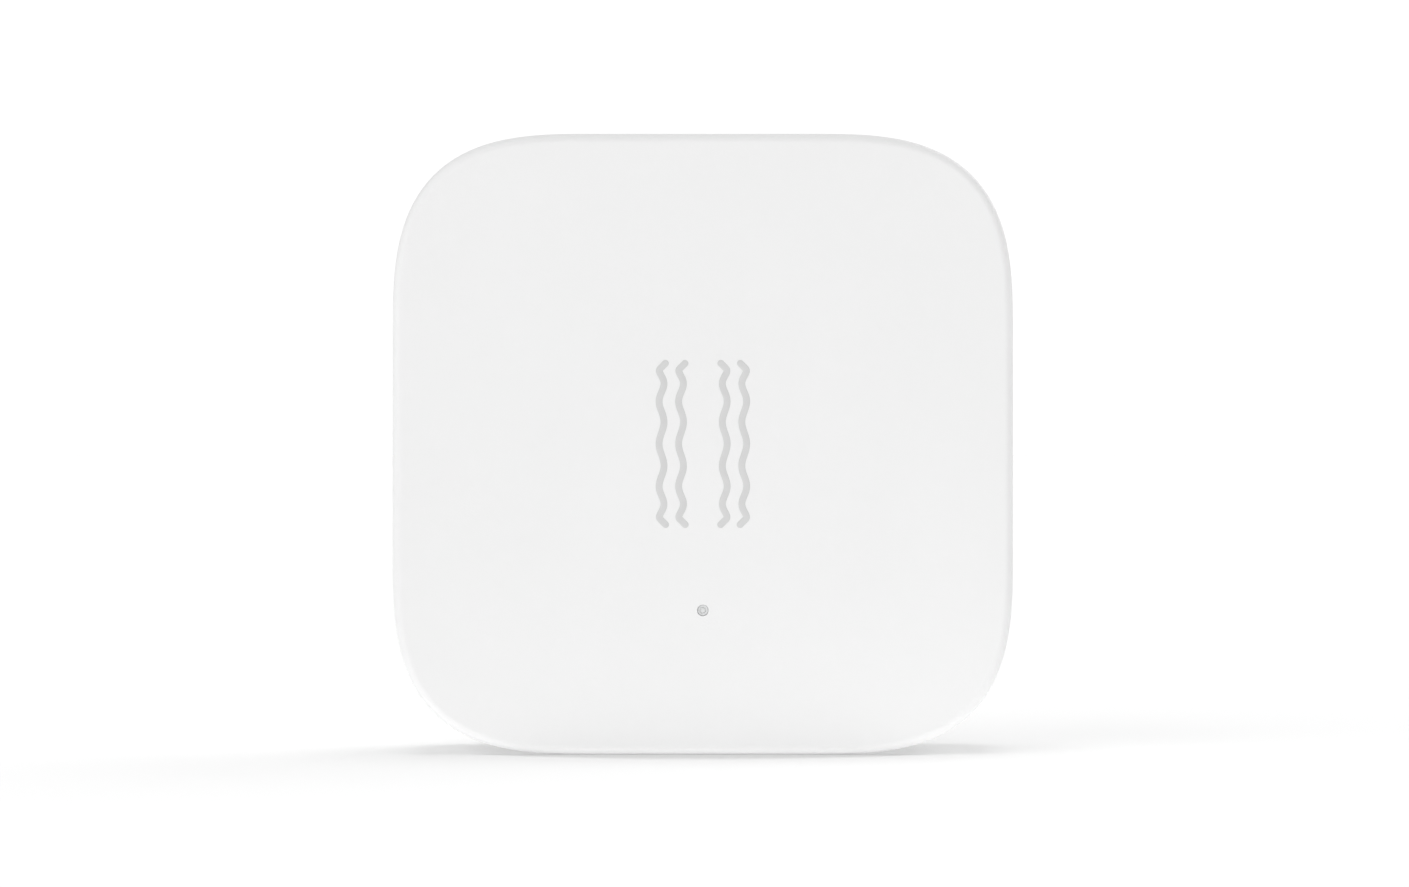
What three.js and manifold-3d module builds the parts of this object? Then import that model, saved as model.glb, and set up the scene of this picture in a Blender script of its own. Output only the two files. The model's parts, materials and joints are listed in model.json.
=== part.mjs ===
// A stick-on vibration sensor for the home: a coin-cell radio sensor in a white rounded-square case.
// Units are millimetres. The row frame has +Z up, the face looks along -Y, and the origin is under the
// middle of the case, where it stands on its flat bottom edge.
//
// Everything is modelled in a bench frame that is easier to think in: x to the right, y up, and z out of
// the face towards the viewer, with its origin at the middle of the case. The exported group turns the
// bench frame upright, so bench (x, y, z) is row (x, -z, y + HALF).
import * as THREE from 'three';
import { mergeVertices } from 'three/addons/utils/BufferGeometryUtils.js';
import Module from 'manifold-3d';

const wasm = await Module();
wasm.setup();

// ---------------------------------------------------------------- driving dimensions

// Case outline: a square whose corners are superellipse arcs, so that the curvature starts gently.
const HALF = 20.5;
const CORNER = 13.2;
const CORNER_POWER = 3;
const CORNER_STEPS = 10;

// Depth stations, from the face to the back of the adhesive pad.
const FACE_Z = 5.9;
const FACE_THICKNESS = 1.4;
const FACE_INNER_Z = FACE_Z - FACE_THICKNESS;
const PCB_FRONT_Z = 2.5;
const PCB_THICKNESS = 0.8;
const PCB_BACK_Z = PCB_FRONT_Z - PCB_THICKNESS;
const CELL_FRONT_Z = 0.9;
const CELL_THICKNESS = 3.2;
const CELL_BACK_Z = CELL_FRONT_Z - CELL_THICKNESS;
const RIM_Z = -3.2;
const BACK_Z = -5.1;
const PAD_THICKNESS = 0.8;
const PAD_INSET = 3;
const PAD_HOLE_RADIUS = 13.4;
const BOARD_INSET = 2.2;

// Shell, and the gaps that pieces keep: parts on the board stand on SOLDER, moulded pieces slip in by SLIP.
const WALL = 1.5;
const INSIDE = HALF - WALL;
const EDGE_RADIUS = 0.6;
const SEAM_GAP = 0.1;
const SOLDER = 0.02;
const SLIP = 0.1;

// Corner fixings: two screws on one diagonal, two locating pins on the other.
const FIXING_XY = 13.6;
const BOSS_RADIUS = 1.6;
const SCREW_HOLE_RADIUS = 0.75;
const SCREW_SHANK_RADIUS = 0.65;
const SCREW_HEAD_RADIUS = 1.3;
const SCREW_LENGTH = 4.0;
const PIN_RADIUS = 0.75;
const FIXING_CLEARANCE_RADIUS = 0.9;
const SCREWS = [[-FIXING_XY, FIXING_XY], [FIXING_XY, -FIXING_XY]];
const PINS = [[FIXING_XY, FIXING_XY], [-FIXING_XY, -FIXING_XY]];

// Status light.
const LIGHT_Y = -10.98;
const LIGHT_HOLE_RADIUS = 0.4;
const LIGHT_TIP_RADIUS = 0.28;
const LIGHT_FLANGE_RADIUS = 0.75;
const LIGHT_SLEEVE_RADIUS = 1.4;
const LIGHT_SLEEVE_BACK_Z = 3.6;
const LIGHT_SLEEVE_FRONT_Z = 4.7;

// Side button and the switch behind it.
const BUTTON_Z = 1.0;
const BUTTON_LENGTH = 5.0;
const BUTTON_HEIGHT = 1.9;
const BUTTON_RECESS = 0.1;
const BUTTON_TRAVEL = 0.25;
const FLANGE_LENGTH = 6.2;
const FLANGE_HEIGHT = 2.8;
const FLANGE_THICKNESS = 0.6;
const SWITCH_TOP_Y = 17.2;
const SWITCH_HALF_WIDTH = 2.3;
const SWITCH_DEPTH = 2.3;
const PLUNGER_TOP_Y = SWITCH_TOP_Y + 0.6;
const PLUNGER_HALF_WIDTH = 0.8;
const PLUNGER_HALF_HEIGHT = 0.4;

// Battery door and its bayonet.
const DOOR_RADIUS = 12.4;
const DOOR_RECESS_RADIUS = 12.55;
const DOOR_RIM_THICKNESS = 0.8;
const DOOR_PLATE_THICKNESS = 1.2;
const SHELF_RADIUS = 11.35;
const SHELF_FRONT_Z = -3.45;
const SKIRT_RADIUS = 11.2;
const SKIRT_THICKNESS = 0.8;
const SKIRT_FRONT_Z = -2.75;
const LUG_RADIUS = 12.2;
const LUG_BACK_Z = -3.4;
const LUG_HALF_ANGLE = 10;
const NOTCH_HALF_ANGLE = 12;
const DOOR_TURN = 35;
const LOCKED_ANGLES = [90, 210, 330];
const STOP_HALF_ANGLE = 3;
const COIN_SLOT_LENGTH = 14;
const COIN_SLOT_WIDTH = 1.9;
const COIN_SLOT_DEPTH = 0.7;

// Coin cell and its cradle.
const CELL_RADIUS = 10;
const CELL_WALL = 0.25;
const CELL_CAP_RADIUS = 8.7;
const CRADLE_BORE = 10.25;
const CRADLE_RADIUS = 11.15;
const CRADLE_BACK_Z = -2.35;
const EAR_BACK_Z = 0.9;

// Cell contacts, bent from spring sheet.
const CONTACT_SHEET = 0.15;
const CONTACT_CLIP_WIDTH = 4;

// Snap hooks, given as the side they are on (quarter turns from the top) and their place along it.
const HOOKS = [
  { side: 0, along: -8 },
  { side: 0, along: 8 },
  { side: 1, along: 0 },
  { side: 2, along: -8 },
  { side: 2, along: 8 },
  { side: 3, along: 0 },
];
const HOOK_WIDTH = 3.6;
const HOOK_THICKNESS = 0.7;
const HOOK_TIP_Z = 0.5;
const HOOK_LATCH_Z = -0.15;
const HOOK_BARB = 0.4;

// How finely round things are cut: the door and its opening, the cell and cradle, bosses, and small pins.
const DOOR_SIDES = 60;
const CELL_SIDES = 36;
const BOSS_SIDES = 18;
const PIN_SIDES = 14;
const ARC_STEPS = 6;

// How far joined solids reach into each other, and how far a cutting tool stands proud.
const OVERLAP = 0.1;

// ---------------------------------------------------------------- colours

const finish = (color, roughness, metalness = 0) =>
  new THREE.MeshStandardMaterial({ color, roughness, metalness });
const MATERIALS = {
  shell: finish(0xf0f0f0, 0.45),
  inner: finish(0xdedede, 0.55),
  clear: finish(0xdcdee0, 0.25),
  foam: finish(0xcfd0d2, 0.9),
  board: finish(0x1f5a3c, 0.5),
  chip: finish(0x1b1c1e, 0.45),
  ceramic: finish(0xb79a78, 0.5),
  copper: finish(0xc98a4b, 0.35, 1),
  tinned: finish(0xc4c6c8, 0.3, 1),
  steel: finish(0xbfc1c4, 0.28, 1),
  gasket: finish(0x2e2f31, 0.6),
  electrode: finish(0x55565a, 0.7),
  lens: finish(0xf2efe2, 0.3),
};

// ---------------------------------------------------------------- solids from three.js geometry

// A closed geometry as a solid that can be cut and joined.
function solid(geometry) {
  const bare = geometry.clone();
  bare.deleteAttribute('normal');
  bare.deleteAttribute('uv');
  const merged = mergeVertices(bare);
  return new wasm.Manifold(
    new wasm.Mesh({
      numProp: 3,
      vertProperties: merged.attributes.position.array,
      triVerts: new Uint32Array(merged.index.array),
    }),
  );
}

// A solid back as a geometry.
function geometryOf(shape) {
  const mesh = shape.getMesh();
  const geometry = new THREE.BufferGeometry();
  geometry.setAttribute('position', new THREE.BufferAttribute(mesh.vertProperties, 3));
  geometry.setIndex(new THREE.BufferAttribute(mesh.triVerts, 1));
  return geometry;
}

const joined = (first, ...others) => others.reduce((sum, one) => sum.add(one), first);
const cut = (body, ...tools) => tools.reduce((rest, tool) => rest.subtract(tool), body);

// A box between two corners.
function block(x0, x1, y0, y1, z0, z1) {
  const box = new THREE.BoxGeometry(x1 - x0, y1 - y0, z1 - z0);
  return solid(box.translate((x0 + x1) / 2, (y0 + y1) / 2, (z0 + z1) / 2));
}

// A cylinder along z.
function disc(radius, z0, z1, x = 0, y = 0, sides = BOSS_SIDES) {
  const cylinder = new THREE.CylinderGeometry(radius, radius, z1 - z0, sides).rotateX(Math.PI / 2);
  return solid(cylinder.translate(x, y, (z0 + z1) / 2));
}

// A flat shape in x and y, made thick between two z stations.
function slab(shape, z0, z1, curveSegments = ARC_STEPS) {
  const depth = z1 - z0;
  const extrusion = new THREE.ExtrudeGeometry(shape, { depth, bevelEnabled: false, curveSegments });
  return solid(extrusion.translate(0, 0, z0));
}

// A solid of revolution about z. Its (radius, z) points start and end on the axis, or close on themselves.
function turned(points, sides = CELL_SIDES) {
  const profile = points.map(([radius, z]) => new THREE.Vector2(radius, z));
  return solid(new THREE.LatheGeometry(profile, sides).rotateX(Math.PI / 2));
}

// A ring about z with a square section.
function ring(inner, outer, z0, z1) {
  return turned([[inner, z0], [outer, z0], [outer, z1], [inner, z1], [inner, z0]]);
}

// A piece of a ring about z, centred on an angle in degrees.
function sector(inner, outer, angle, halfAngle, z0, z1) {
  const from = THREE.MathUtils.degToRad(angle - halfAngle);
  const to = THREE.MathUtils.degToRad(angle + halfAngle);
  const shape = new THREE.Shape();
  shape.absarc(0, 0, outer, from, to, false);
  shape.absarc(0, 0, inner, to, from, true);
  return slab(shape, z0, z1);
}

// A stadium, length along x and height along y.
function stadium(length, height) {
  const radius = height / 2;
  const straight = length / 2 - radius;
  const shape = new THREE.Shape();
  shape.absarc(straight, 0, radius, -Math.PI / 2, Math.PI / 2, false);
  shape.absarc(-straight, 0, radius, Math.PI / 2, (3 * Math.PI) / 2, false);
  return shape;
}

// A stadium in x and z, made thick along y.
function sideStadium(length, height, y0, y1, z) {
  return slab(stadium(length, height), 0, y1 - y0).rotate([90, 0, 0]).translate([0, y1, z]);
}

// A bent strip of sheet metal: the line through (x, z) points, given a thickness, and a width along y.
function bentStrip(points, thickness, width, steps) {
  const line = new THREE.SplineCurve(points.map(([x, z]) => new THREE.Vector2(x, z)));
  const near = [];
  const far = [];
  for (let i = 0; i <= steps; i++) {
    const at = line.getPoint(i / steps);
    const along = line.getTangent(i / steps);
    const side = new THREE.Vector2(-along.y, along.x).multiplyScalar(thickness / 2);
    near.push(at.clone().add(side));
    far.unshift(at.clone().sub(side));
  }
  const section = new THREE.Shape([...near, ...far]);
  return slab(section, -width / 2, width / 2).rotate([90, 0, 0]);
}

// ---------------------------------------------------------------- the rounded-square outline

// Points of the case outline, moved inwards along its normals by inset, anticlockwise seen from the face.
function outline(inset = 0) {
  const centre = new THREE.Vector2();
  const points = [];
  for (let quarter = 0; quarter < 4; quarter++) {
    for (let i = 0; i <= CORNER_STEPS; i++) {
      const angle = ((i / CORNER_STEPS) * Math.PI) / 2;
      const along = new THREE.Vector2(Math.cos(angle), Math.sin(angle));
      const reach = (along.x ** CORNER_POWER + along.y ** CORNER_POWER) ** (-1 / CORNER_POWER);
      const arc = along.multiplyScalar(reach);
      const normal = new THREE.Vector2(
        arc.x ** (CORNER_POWER - 1),
        arc.y ** (CORNER_POWER - 1),
      ).normalize();
      const point = new THREE.Vector2(HALF - CORNER, HALF - CORNER)
        .addScaledVector(arc, CORNER)
        .addScaledVector(normal, -inset);
      points.push(point.rotateAround(centre, (quarter * Math.PI) / 2));
    }
  }
  return points;
}

// A closed skin through outline rings, given as [inset, z] pairs from its face-side cap to its last cap.
function lofted(profile) {
  const rings = profile.map(([inset, z]) => outline(inset).map((p) => new THREE.Vector3(p.x, p.y, z)));
  const count = rings[0].length;
  const triangles = [];
  const cap = (points, faceUp) => {
    const middle = new THREE.Vector3(0, 0, points[0].z);
    points.forEach((point, i) => {
      const next = points[(i + 1) % count];
      triangles.push(middle, ...(faceUp ? [point, next] : [next, point]));
    });
  };
  cap(rings[0], true);
  for (let k = 0; k + 1 < rings.length; k++) {
    for (let i = 0; i < count; i++) {
      const j = (i + 1) % count;
      triangles.push(rings[k][i], rings[k + 1][i], rings[k][j]);
      triangles.push(rings[k][j], rings[k + 1][i], rings[k + 1][j]);
    }
  }
  cap(rings.at(-1), false);
  return solid(new THREE.BufferGeometry().setFromPoints(triangles));
}

// A rounded-square plate, with holes where given.
function roundedPlate(inset, z0, z1, holes = []) {
  const shape = new THREE.Shape(outline(inset));
  shape.holes.push(...holes);
  return slab(shape, z0, z1);
}

// A quarter of an ellipse as profile points: it starts in line with the flat and ends in line with the side.
function roundedEdge(flatInset, flatZ, sideInset, sideZ, steps) {
  const points = [];
  for (let i = 0; i <= steps; i++) {
    const angle = ((i / steps) * Math.PI) / 2;
    points.push([
      flatInset + (sideInset - flatInset) * Math.sin(angle),
      sideZ + (flatZ - sideZ) * Math.cos(angle),
    ]);
  }
  return points;
}

// ---------------------------------------------------------------- the pieces

// The white shell: face, side walls, bosses, pins, the status-light sleeve and the button opening.
function frontCover() {
  const rimChamfer = 0.15;
  const skin = lofted([
    ...roundedEdge(EDGE_RADIUS, FACE_Z, 0, FACE_Z - EDGE_RADIUS, 5),
    [0, RIM_Z + rimChamfer],
    [rimChamfer, RIM_Z],
    [WALL, RIM_Z],
    [WALL, FACE_INNER_Z],
  ]);
  const boss = ([x, y]) => disc(BOSS_RADIUS, PCB_FRONT_Z + SOLDER, FACE_INNER_Z + OVERLAP, x, y);
  const pin = ([x, y]) => disc(PIN_RADIUS, EAR_BACK_Z + 0.3, PCB_FRONT_Z + OVERLAP, x, y, PIN_SIDES);
  const screwHole = ([x, y]) =>
    disc(SCREW_HOLE_RADIUS, PCB_FRONT_Z - OVERLAP, FACE_Z - 0.8, x, y, PIN_SIDES);
  const sleeve = disc(LIGHT_SLEEVE_RADIUS, LIGHT_SLEEVE_BACK_Z, FACE_INNER_Z + OVERLAP, 0, LIGHT_Y);
  const lightHole = disc(LIGHT_HOLE_RADIUS, FACE_INNER_Z, FACE_Z + OVERLAP, 0, LIGHT_Y);
  const seatRadius = LIGHT_FLANGE_RADIUS + SLIP;
  const lightSeat = disc(seatRadius, LIGHT_SLEEVE_BACK_Z - OVERLAP, LIGHT_SLEEVE_FRONT_Z, 0, LIGHT_Y);
  const solidParts = [
    ...[...SCREWS, ...PINS].map(boss),
    ...PINS.map(pin),
    sleeve,
    buttonRail(-1),
    buttonRail(1),
  ];
  const cuts = [...SCREWS.map(screwHole), lightHole, lightSeat, buttonOpening(), ...HOOKS.map(hookPocket)];
  return cut(joined(skin, ...solidParts), ...cuts);
}

// A rail beside the button flange, which also carries the edge of the board.
function buttonRail(side) {
  const near = side * (FLANGE_LENGTH / 2 + 0.25);
  const far = near + side * 0.7;
  const left = Math.min(near, far);
  const right = Math.max(near, far);
  return block(left, right, INSIDE - 1.4, INSIDE + 0.3, BUTTON_Z - 1.8, PCB_BACK_Z - SLIP);
}

// The hole in the wall that the button comes out of.
function buttonOpening() {
  const clearance = 2 * SLIP;
  return sideStadium(
    BUTTON_LENGTH + clearance,
    BUTTON_HEIGHT + clearance,
    INSIDE - OVERLAP,
    HALF + OVERLAP,
    BUTTON_Z,
  );
}

// The pocket in the wall that one snap hook catches in.
function hookPocket({ side, along }) {
  const half = HOOK_WIDTH / 2 + 0.2;
  return block(-half, half, INSIDE - OVERLAP, INSIDE + 0.5, HOOK_LATCH_Z - 0.15, HOOK_TIP_Z + 0.2)
    .translate([along, 0, 0])
    .rotate([0, 0, side * 90]);
}

// The clear pin that carries the status light from the board to the face.
function lightGuide() {
  const stemRadius = 0.5;
  const flangeFrontZ = LIGHT_SLEEVE_FRONT_Z - SLIP;
  const flangeBackZ = flangeFrontZ - 0.7;
  const tipZ = FACE_Z - 0.06;
  const tipRound = 0.08;
  return turned([
    [0, PCB_FRONT_Z + 0.7],
    [stemRadius, PCB_FRONT_Z + 0.7],
    [stemRadius, flangeBackZ],
    [LIGHT_FLANGE_RADIUS, flangeBackZ],
    [LIGHT_FLANGE_RADIUS, flangeFrontZ],
    [LIGHT_TIP_RADIUS, flangeFrontZ],
    [LIGHT_TIP_RADIUS, tipZ - tipRound],
    [LIGHT_TIP_RADIUS - tipRound, tipZ],
    [0, tipZ],
  ], BOSS_SIDES).translate([0, LIGHT_Y, 0]);
}

// The button: a capsule cap in the case wall, a flange that keeps it in, and a nub on the switch.
function resetButton() {
  const flangeTop = INSIDE - 0.05;
  const flangeBack = flangeTop - FLANGE_THICKNESS;
  const capBottom = flangeTop - OVERLAP;
  const cap = sideStadium(BUTTON_LENGTH, BUTTON_HEIGHT, capBottom, HALF - BUTTON_RECESS, BUTTON_Z);
  const flange = sideStadium(FLANGE_LENGTH, FLANGE_HEIGHT, flangeBack, flangeTop, BUTTON_Z);
  const nub = block(-0.7, 0.7, PLUNGER_TOP_Y + 0.05, flangeBack + OVERLAP, BUTTON_Z - 0.4, BUTTON_Z + 0.4);
  return joined(cap, flange, nub);
}

// The side-push switch on the back of the board: moulded body, pressed cover, moving plunger.
function switchBody() {
  const half = SWITCH_HALF_WIDTH;
  const body = block(-half, half, SWITCH_TOP_Y - SWITCH_DEPTH, SWITCH_TOP_Y, 0.3, PCB_BACK_Z - SOLDER);
  const mouthHalf = PLUNGER_HALF_WIDTH + SLIP;
  const mouthBottom = SWITCH_TOP_Y - BUTTON_TRAVEL - 0.35;
  const rise = PLUNGER_HALF_HEIGHT + SLIP;
  const mouth = block(
    -mouthHalf,
    mouthHalf,
    mouthBottom,
    SWITCH_TOP_Y + OVERLAP,
    BUTTON_Z - rise,
    BUTTON_Z + rise,
  );
  return cut(body, mouth);
}
function switchCover() {
  const sheet = 0.12;
  const z0 = 0.3 - SOLDER - sheet;
  const reach = SWITCH_HALF_WIDTH + SOLDER + sheet;
  const y0 = SWITCH_TOP_Y - 1.6;
  const y1 = SWITCH_TOP_Y - 0.7;
  const plate = block(-2, 2, SWITCH_TOP_Y - SWITCH_DEPTH + 0.1, SWITCH_TOP_Y - 0.1, z0, z0 + sheet);
  const bridge = block(-reach, reach, y0, y1, z0, z0 + sheet);
  const tab = (x0) => block(x0, x0 + sheet, y0, y1, z0, 1.2);
  return joined(plate, bridge, tab(-reach), tab(reach - sheet));
}
function switchPlunger() {
  const half = PLUNGER_HALF_WIDTH;
  const rise = PLUNGER_HALF_HEIGHT;
  return block(-half, half, SWITCH_TOP_Y - 0.25, PLUNGER_TOP_Y, BUTTON_Z - rise, BUTTON_Z + rise);
}

// The circuit board, notched at the top for the button flange.
function circuitBoard() {
  const back = PCB_BACK_Z - OVERLAP;
  const front = PCB_FRONT_Z + OVERLAP;
  const board = roundedPlate(BOARD_INSET, PCB_BACK_Z, PCB_FRONT_Z);
  const hole = ([x, y]) => disc(FIXING_CLEARANCE_RADIUS, back, front, x, y, PIN_SIDES);
  const notchHalf = FLANGE_LENGTH / 2 + 0.4;
  const notchBottom = INSIDE - FLANGE_THICKNESS - BUTTON_TRAVEL - 0.3;
  const notch = block(-notchHalf, notchHalf, notchBottom, HALF, back, front);
  return cut(board, ...[...SCREWS, ...PINS].map(hole), notch);
}

// The printed aerial: a meandering copper track with square turns.
function aerialTrack() {
  const width = 0.6;
  const pitch = 1.5;
  const height = 3.2;
  const turns = 6;
  const z0 = PCB_FRONT_Z + 0.005;
  const z1 = z0 + 0.05;
  const tracks = [];
  for (let i = 0; i <= turns; i++) {
    const x = i * pitch;
    tracks.push(block(x, x + width, 0, height, z0, z1));
    if (i < turns) {
      const y = i % 2 ? 0 : height - width;
      tracks.push(block(x, x + pitch + width, y, y + width, z0, z1));
    }
  }
  return joined(...tracks).translate([-(turns * pitch + width) / 2, 13.2, 0]);
}

// A packaged chip on the front of the board: a low box with its top edge chamfered all round.
function chip(width, height, thickness, x, y) {
  const chamfer = 0.12;
  const base = PCB_FRONT_Z + SOLDER;
  const corners = [[0, base], [0, base + thickness - chamfer], [chamfer, base + thickness]].flatMap(
    ([inset, z]) => {
      const halfWidth = width / 2 - inset;
      const halfHeight = height / 2 - inset;
      return [[-1, -1], [1, -1], [1, 1], [-1, 1]].map(([i, j]) => [i * halfWidth, j * halfHeight, z]);
    },
  );
  const quads = [[3, 2, 1, 0], [8, 9, 10, 11]];
  for (const lower of [0, 4]) {
    for (let i = 0; i < 4; i++) {
      const j = (i + 1) % 4;
      quads.push([lower + i, lower + j, lower + 4 + j, lower + 4 + i]);
    }
  }
  const triangles = quads
    .flatMap(([a, b, c, d]) => [a, b, c, a, c, d])
    .map((i) => new THREE.Vector3(...corners[i]));
  return solid(new THREE.BufferGeometry().setFromPoints(triangles)).translate([x, y, 0]);
}

// A two-ended chip part, such as a capacitor: a body between slightly thicker metal ends.
function twoEnded(length, width, thickness, x, y, turn = 0) {
  const z0 = PCB_FRONT_Z + SOLDER;
  const end = length * 0.24;
  const step = 0.04;
  const half = length / 2;
  const body = block(-half, half, -width / 2 + step, width / 2 - step, z0, z0 + thickness - step);
  const cap = (x0) => block(x0, x0 + end, -width / 2, width / 2, z0, z0 + thickness);
  return joined(body, cap(-half), cap(half - end)).rotate([0, 0, turn]).translate([x, y, 0]);
}

// The frame that holds the cell: a ring with a ledge in front of the cell, and four ears on the fixings.
function batteryCradle() {
  const front = PCB_BACK_Z - SLIP;
  const wall = ring(CRADLE_BORE, CRADLE_RADIUS, CRADLE_BACK_Z, front);
  const ledge = ring(9.3, CRADLE_BORE + OVERLAP, CELL_FRONT_Z + 0.05, front);
  const armHalf = 1.5;
  const earRadius = 1.9;
  const reach = FIXING_XY * Math.SQRT2;
  const arm = (angle) =>
    joined(
      block(CRADLE_RADIUS - 0.3, reach, -armHalf, armHalf, EAR_BACK_Z, front),
      disc(earRadius, EAR_BACK_Z, front, reach, 0),
    ).rotate([0, 0, angle]);
  const hole = ([x, y]) =>
    disc(FIXING_CLEARANCE_RADIUS, EAR_BACK_Z - OVERLAP, front + OVERLAP, x, y, PIN_SIDES);
  const gapHalf = CONTACT_CLIP_WIDTH / 2 + 0.4;
  const contactGap = block(-CRADLE_RADIUS - 1, -9, -gapHalf, gapHalf, -1.9, front + OVERLAP);
  const body = joined(wall, ledge, ...[45, 135, 225, 315].map(arm));
  return cut(body, ...[...SCREWS, ...PINS].map(hole), contactGap);
}

// The spring leaf that presses on the cell's negative cap, split into two fingers at its tip.
function negativeContact() {
  const foot = PCB_BACK_Z - SOLDER - CONTACT_SHEET / 2;
  const tip = CELL_FRONT_Z + SOLDER + CONTACT_SHEET / 2;
  const line = [[8.2, foot], [6.6, foot], [5.2, foot], [3.2, foot - 0.2], [0.6, tip], [-1.2, tip + 0.3]];
  const leaf = bentStrip(line, CONTACT_SHEET, 3.2, 20);
  const split = block(-2, 3.2, -0.35, 0.35, tip - 1, PCB_BACK_Z);
  return cut(leaf, split);
}

// The spring clip that presses on the side of the cell's can.
function positiveContact() {
  const foot = PCB_BACK_Z - SOLDER - CONTACT_SHEET / 2;
  const touch = -CELL_RADIUS - 0.05 - CONTACT_SHEET / 2;
  const line = [
    [-13.4, foot],
    [-12.4, foot],
    [-11.75, foot - 0.1],
    [-11.5, foot - 0.6],
    [-11.2, 0.2],
    [touch, -0.7],
    [-10.9, -1.6],
  ];
  return bentStrip(line, CONTACT_SHEET, CONTACT_CLIP_WIDTH, 24);
}

// The coin cell: a drawn can, a sealing gasket, the electrodes between them, and a cap crimped in.
function cellCan() {
  const back = CELL_BACK_Z;
  const front = CELL_FRONT_Z - 0.15;
  const bottomRadius = 0.35;
  const crimp = 0.95;
  return turned([
    [0, back],
    [CELL_RADIUS - bottomRadius, back],
    [CELL_RADIUS, back + bottomRadius],
    [CELL_RADIUS, front - 0.3],
    [CELL_RADIUS - crimp / 2, front],
    [CELL_RADIUS - crimp, front],
    [CELL_RADIUS - crimp, front - CELL_WALL],
    [CELL_RADIUS - CELL_WALL, front - 0.45],
    [CELL_RADIUS - CELL_WALL, back + CELL_WALL],
    [0, back + CELL_WALL],
  ]);
}
function cellGasket() {
  const back = CELL_BACK_Z + CELL_WALL + 0.05;
  const front = CELL_FRONT_Z - 0.2;
  const inner = CELL_CAP_RADIUS + 0.05;
  return turned([
    [inner, back],
    [9.7, back],
    [9.7, front - 0.5],
    [9.0, front - 0.28],
    [9.0, front],
    [inner, front],
    [inner, back],
  ]);
}
function cellElectrodes() {
  const skin = CELL_WALL + 0.05;
  const radius = CELL_CAP_RADIUS - skin - 0.05;
  return disc(radius, CELL_BACK_Z + skin, CELL_FRONT_Z - skin, 0, 0, CELL_SIDES);
}
function cellCap() {
  const back = CELL_BACK_Z + CELL_WALL + 0.1;
  const edge = 0.3;
  return turned([
    [CELL_CAP_RADIUS - CELL_WALL, back],
    [CELL_CAP_RADIUS, back],
    [CELL_CAP_RADIUS, CELL_FRONT_Z - edge],
    [CELL_CAP_RADIUS - edge, CELL_FRONT_Z],
    [0, CELL_FRONT_Z],
    [0, CELL_FRONT_Z - CELL_WALL],
    [CELL_CAP_RADIUS - CELL_WALL, CELL_FRONT_Z - CELL_WALL],
    [CELL_CAP_RADIUS - CELL_WALL, back],
  ]);
}

// The back cover: plate, locating lip, snap hooks, and the stepped opening for the battery door.
function backCover() {
  const top = RIM_Z - SEAM_GAP;
  const lipTop = top + 1;
  const sideInset = 0.35;
  const edge = roundedEdge(1.6, BACK_Z, sideInset, top - 0.4, 5).reverse();
  const plate = lofted([[sideInset, top], ...edge]);
  const lipInset = WALL + SLIP;
  const lipInside = new THREE.Path(outline(lipInset + HOOK_THICKNESS));
  const lip = roundedPlate(lipInset, top - OVERLAP, lipTop, [lipInside]);
  const shelfBack = BACK_Z + DOOR_RIM_THICKNESS + 0.05;
  const recess = disc(DOOR_RECESS_RADIUS, BACK_Z - OVERLAP, shelfBack, 0, 0, DOOR_SIDES);
  const bore = disc(SHELF_RADIUS, BACK_Z, lipTop, 0, 0, DOOR_SIDES);
  const chamber = disc(DOOR_RECESS_RADIUS, SHELF_FRONT_Z, top + OVERLAP, 0, 0, DOOR_SIDES);
  const notchRadius = LUG_RADIUS + 0.15;
  const notches = LOCKED_ANGLES.map((angle) =>
    sector(SHELF_RADIUS - 0.5, notchRadius, angle - DOOR_TURN, NOTCH_HALF_ANGLE, BACK_Z, lipTop),
  );
  const hooks = HOOKS.map((place) => snapHook(place, top - OVERLAP));
  return joined(cut(joined(plate, lip, ...hooks), recess, bore, chamber, ...notches), ...bayonetStops());
}

// One snap hook: a flexible tongue with a barb that points outwards.
function snapHook({ side, along }, rootZ) {
  const outer = INSIDE - SLIP;
  const inner = outer - HOOK_THICKNESS;
  const profile = new THREE.Shape(
    [
      [inner, rootZ],
      [outer, rootZ],
      [outer, HOOK_LATCH_Z],
      [outer + HOOK_BARB, HOOK_LATCH_Z],
      [outer, HOOK_TIP_Z],
      [inner, HOOK_TIP_Z],
    ].map(([y, z]) => new THREE.Vector2(y, z)),
  );
  // The profile is drawn flat and made HOOK_WIDTH thick, then stood up so that its width lies along x.
  return slab(profile, -HOOK_WIDTH / 2, HOOK_WIDTH / 2)
    .rotate([90, 0, 90])
    .translate([along, 0, 0])
    .rotate([0, 0, side * 90]);
}

// Stops beside each locked place and each notch, which end the door's turn.
function bayonetStops() {
  const clear = 1 + STOP_HALF_ANGLE;
  const places = LOCKED_ANGLES.flatMap((angle) => [
    angle + LUG_HALF_ANGLE + clear,
    angle - DOOR_TURN - NOTCH_HALF_ANGLE - clear,
  ]);
  const inner = SHELF_RADIUS + 0.15;
  const outer = LUG_RADIUS + 0.2;
  const back = SHELF_FRONT_Z - OVERLAP;
  return places.map((at) => sector(inner, outer, at, STOP_HALF_ANGLE, back, SKIRT_FRONT_Z - SLIP));
}

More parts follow.
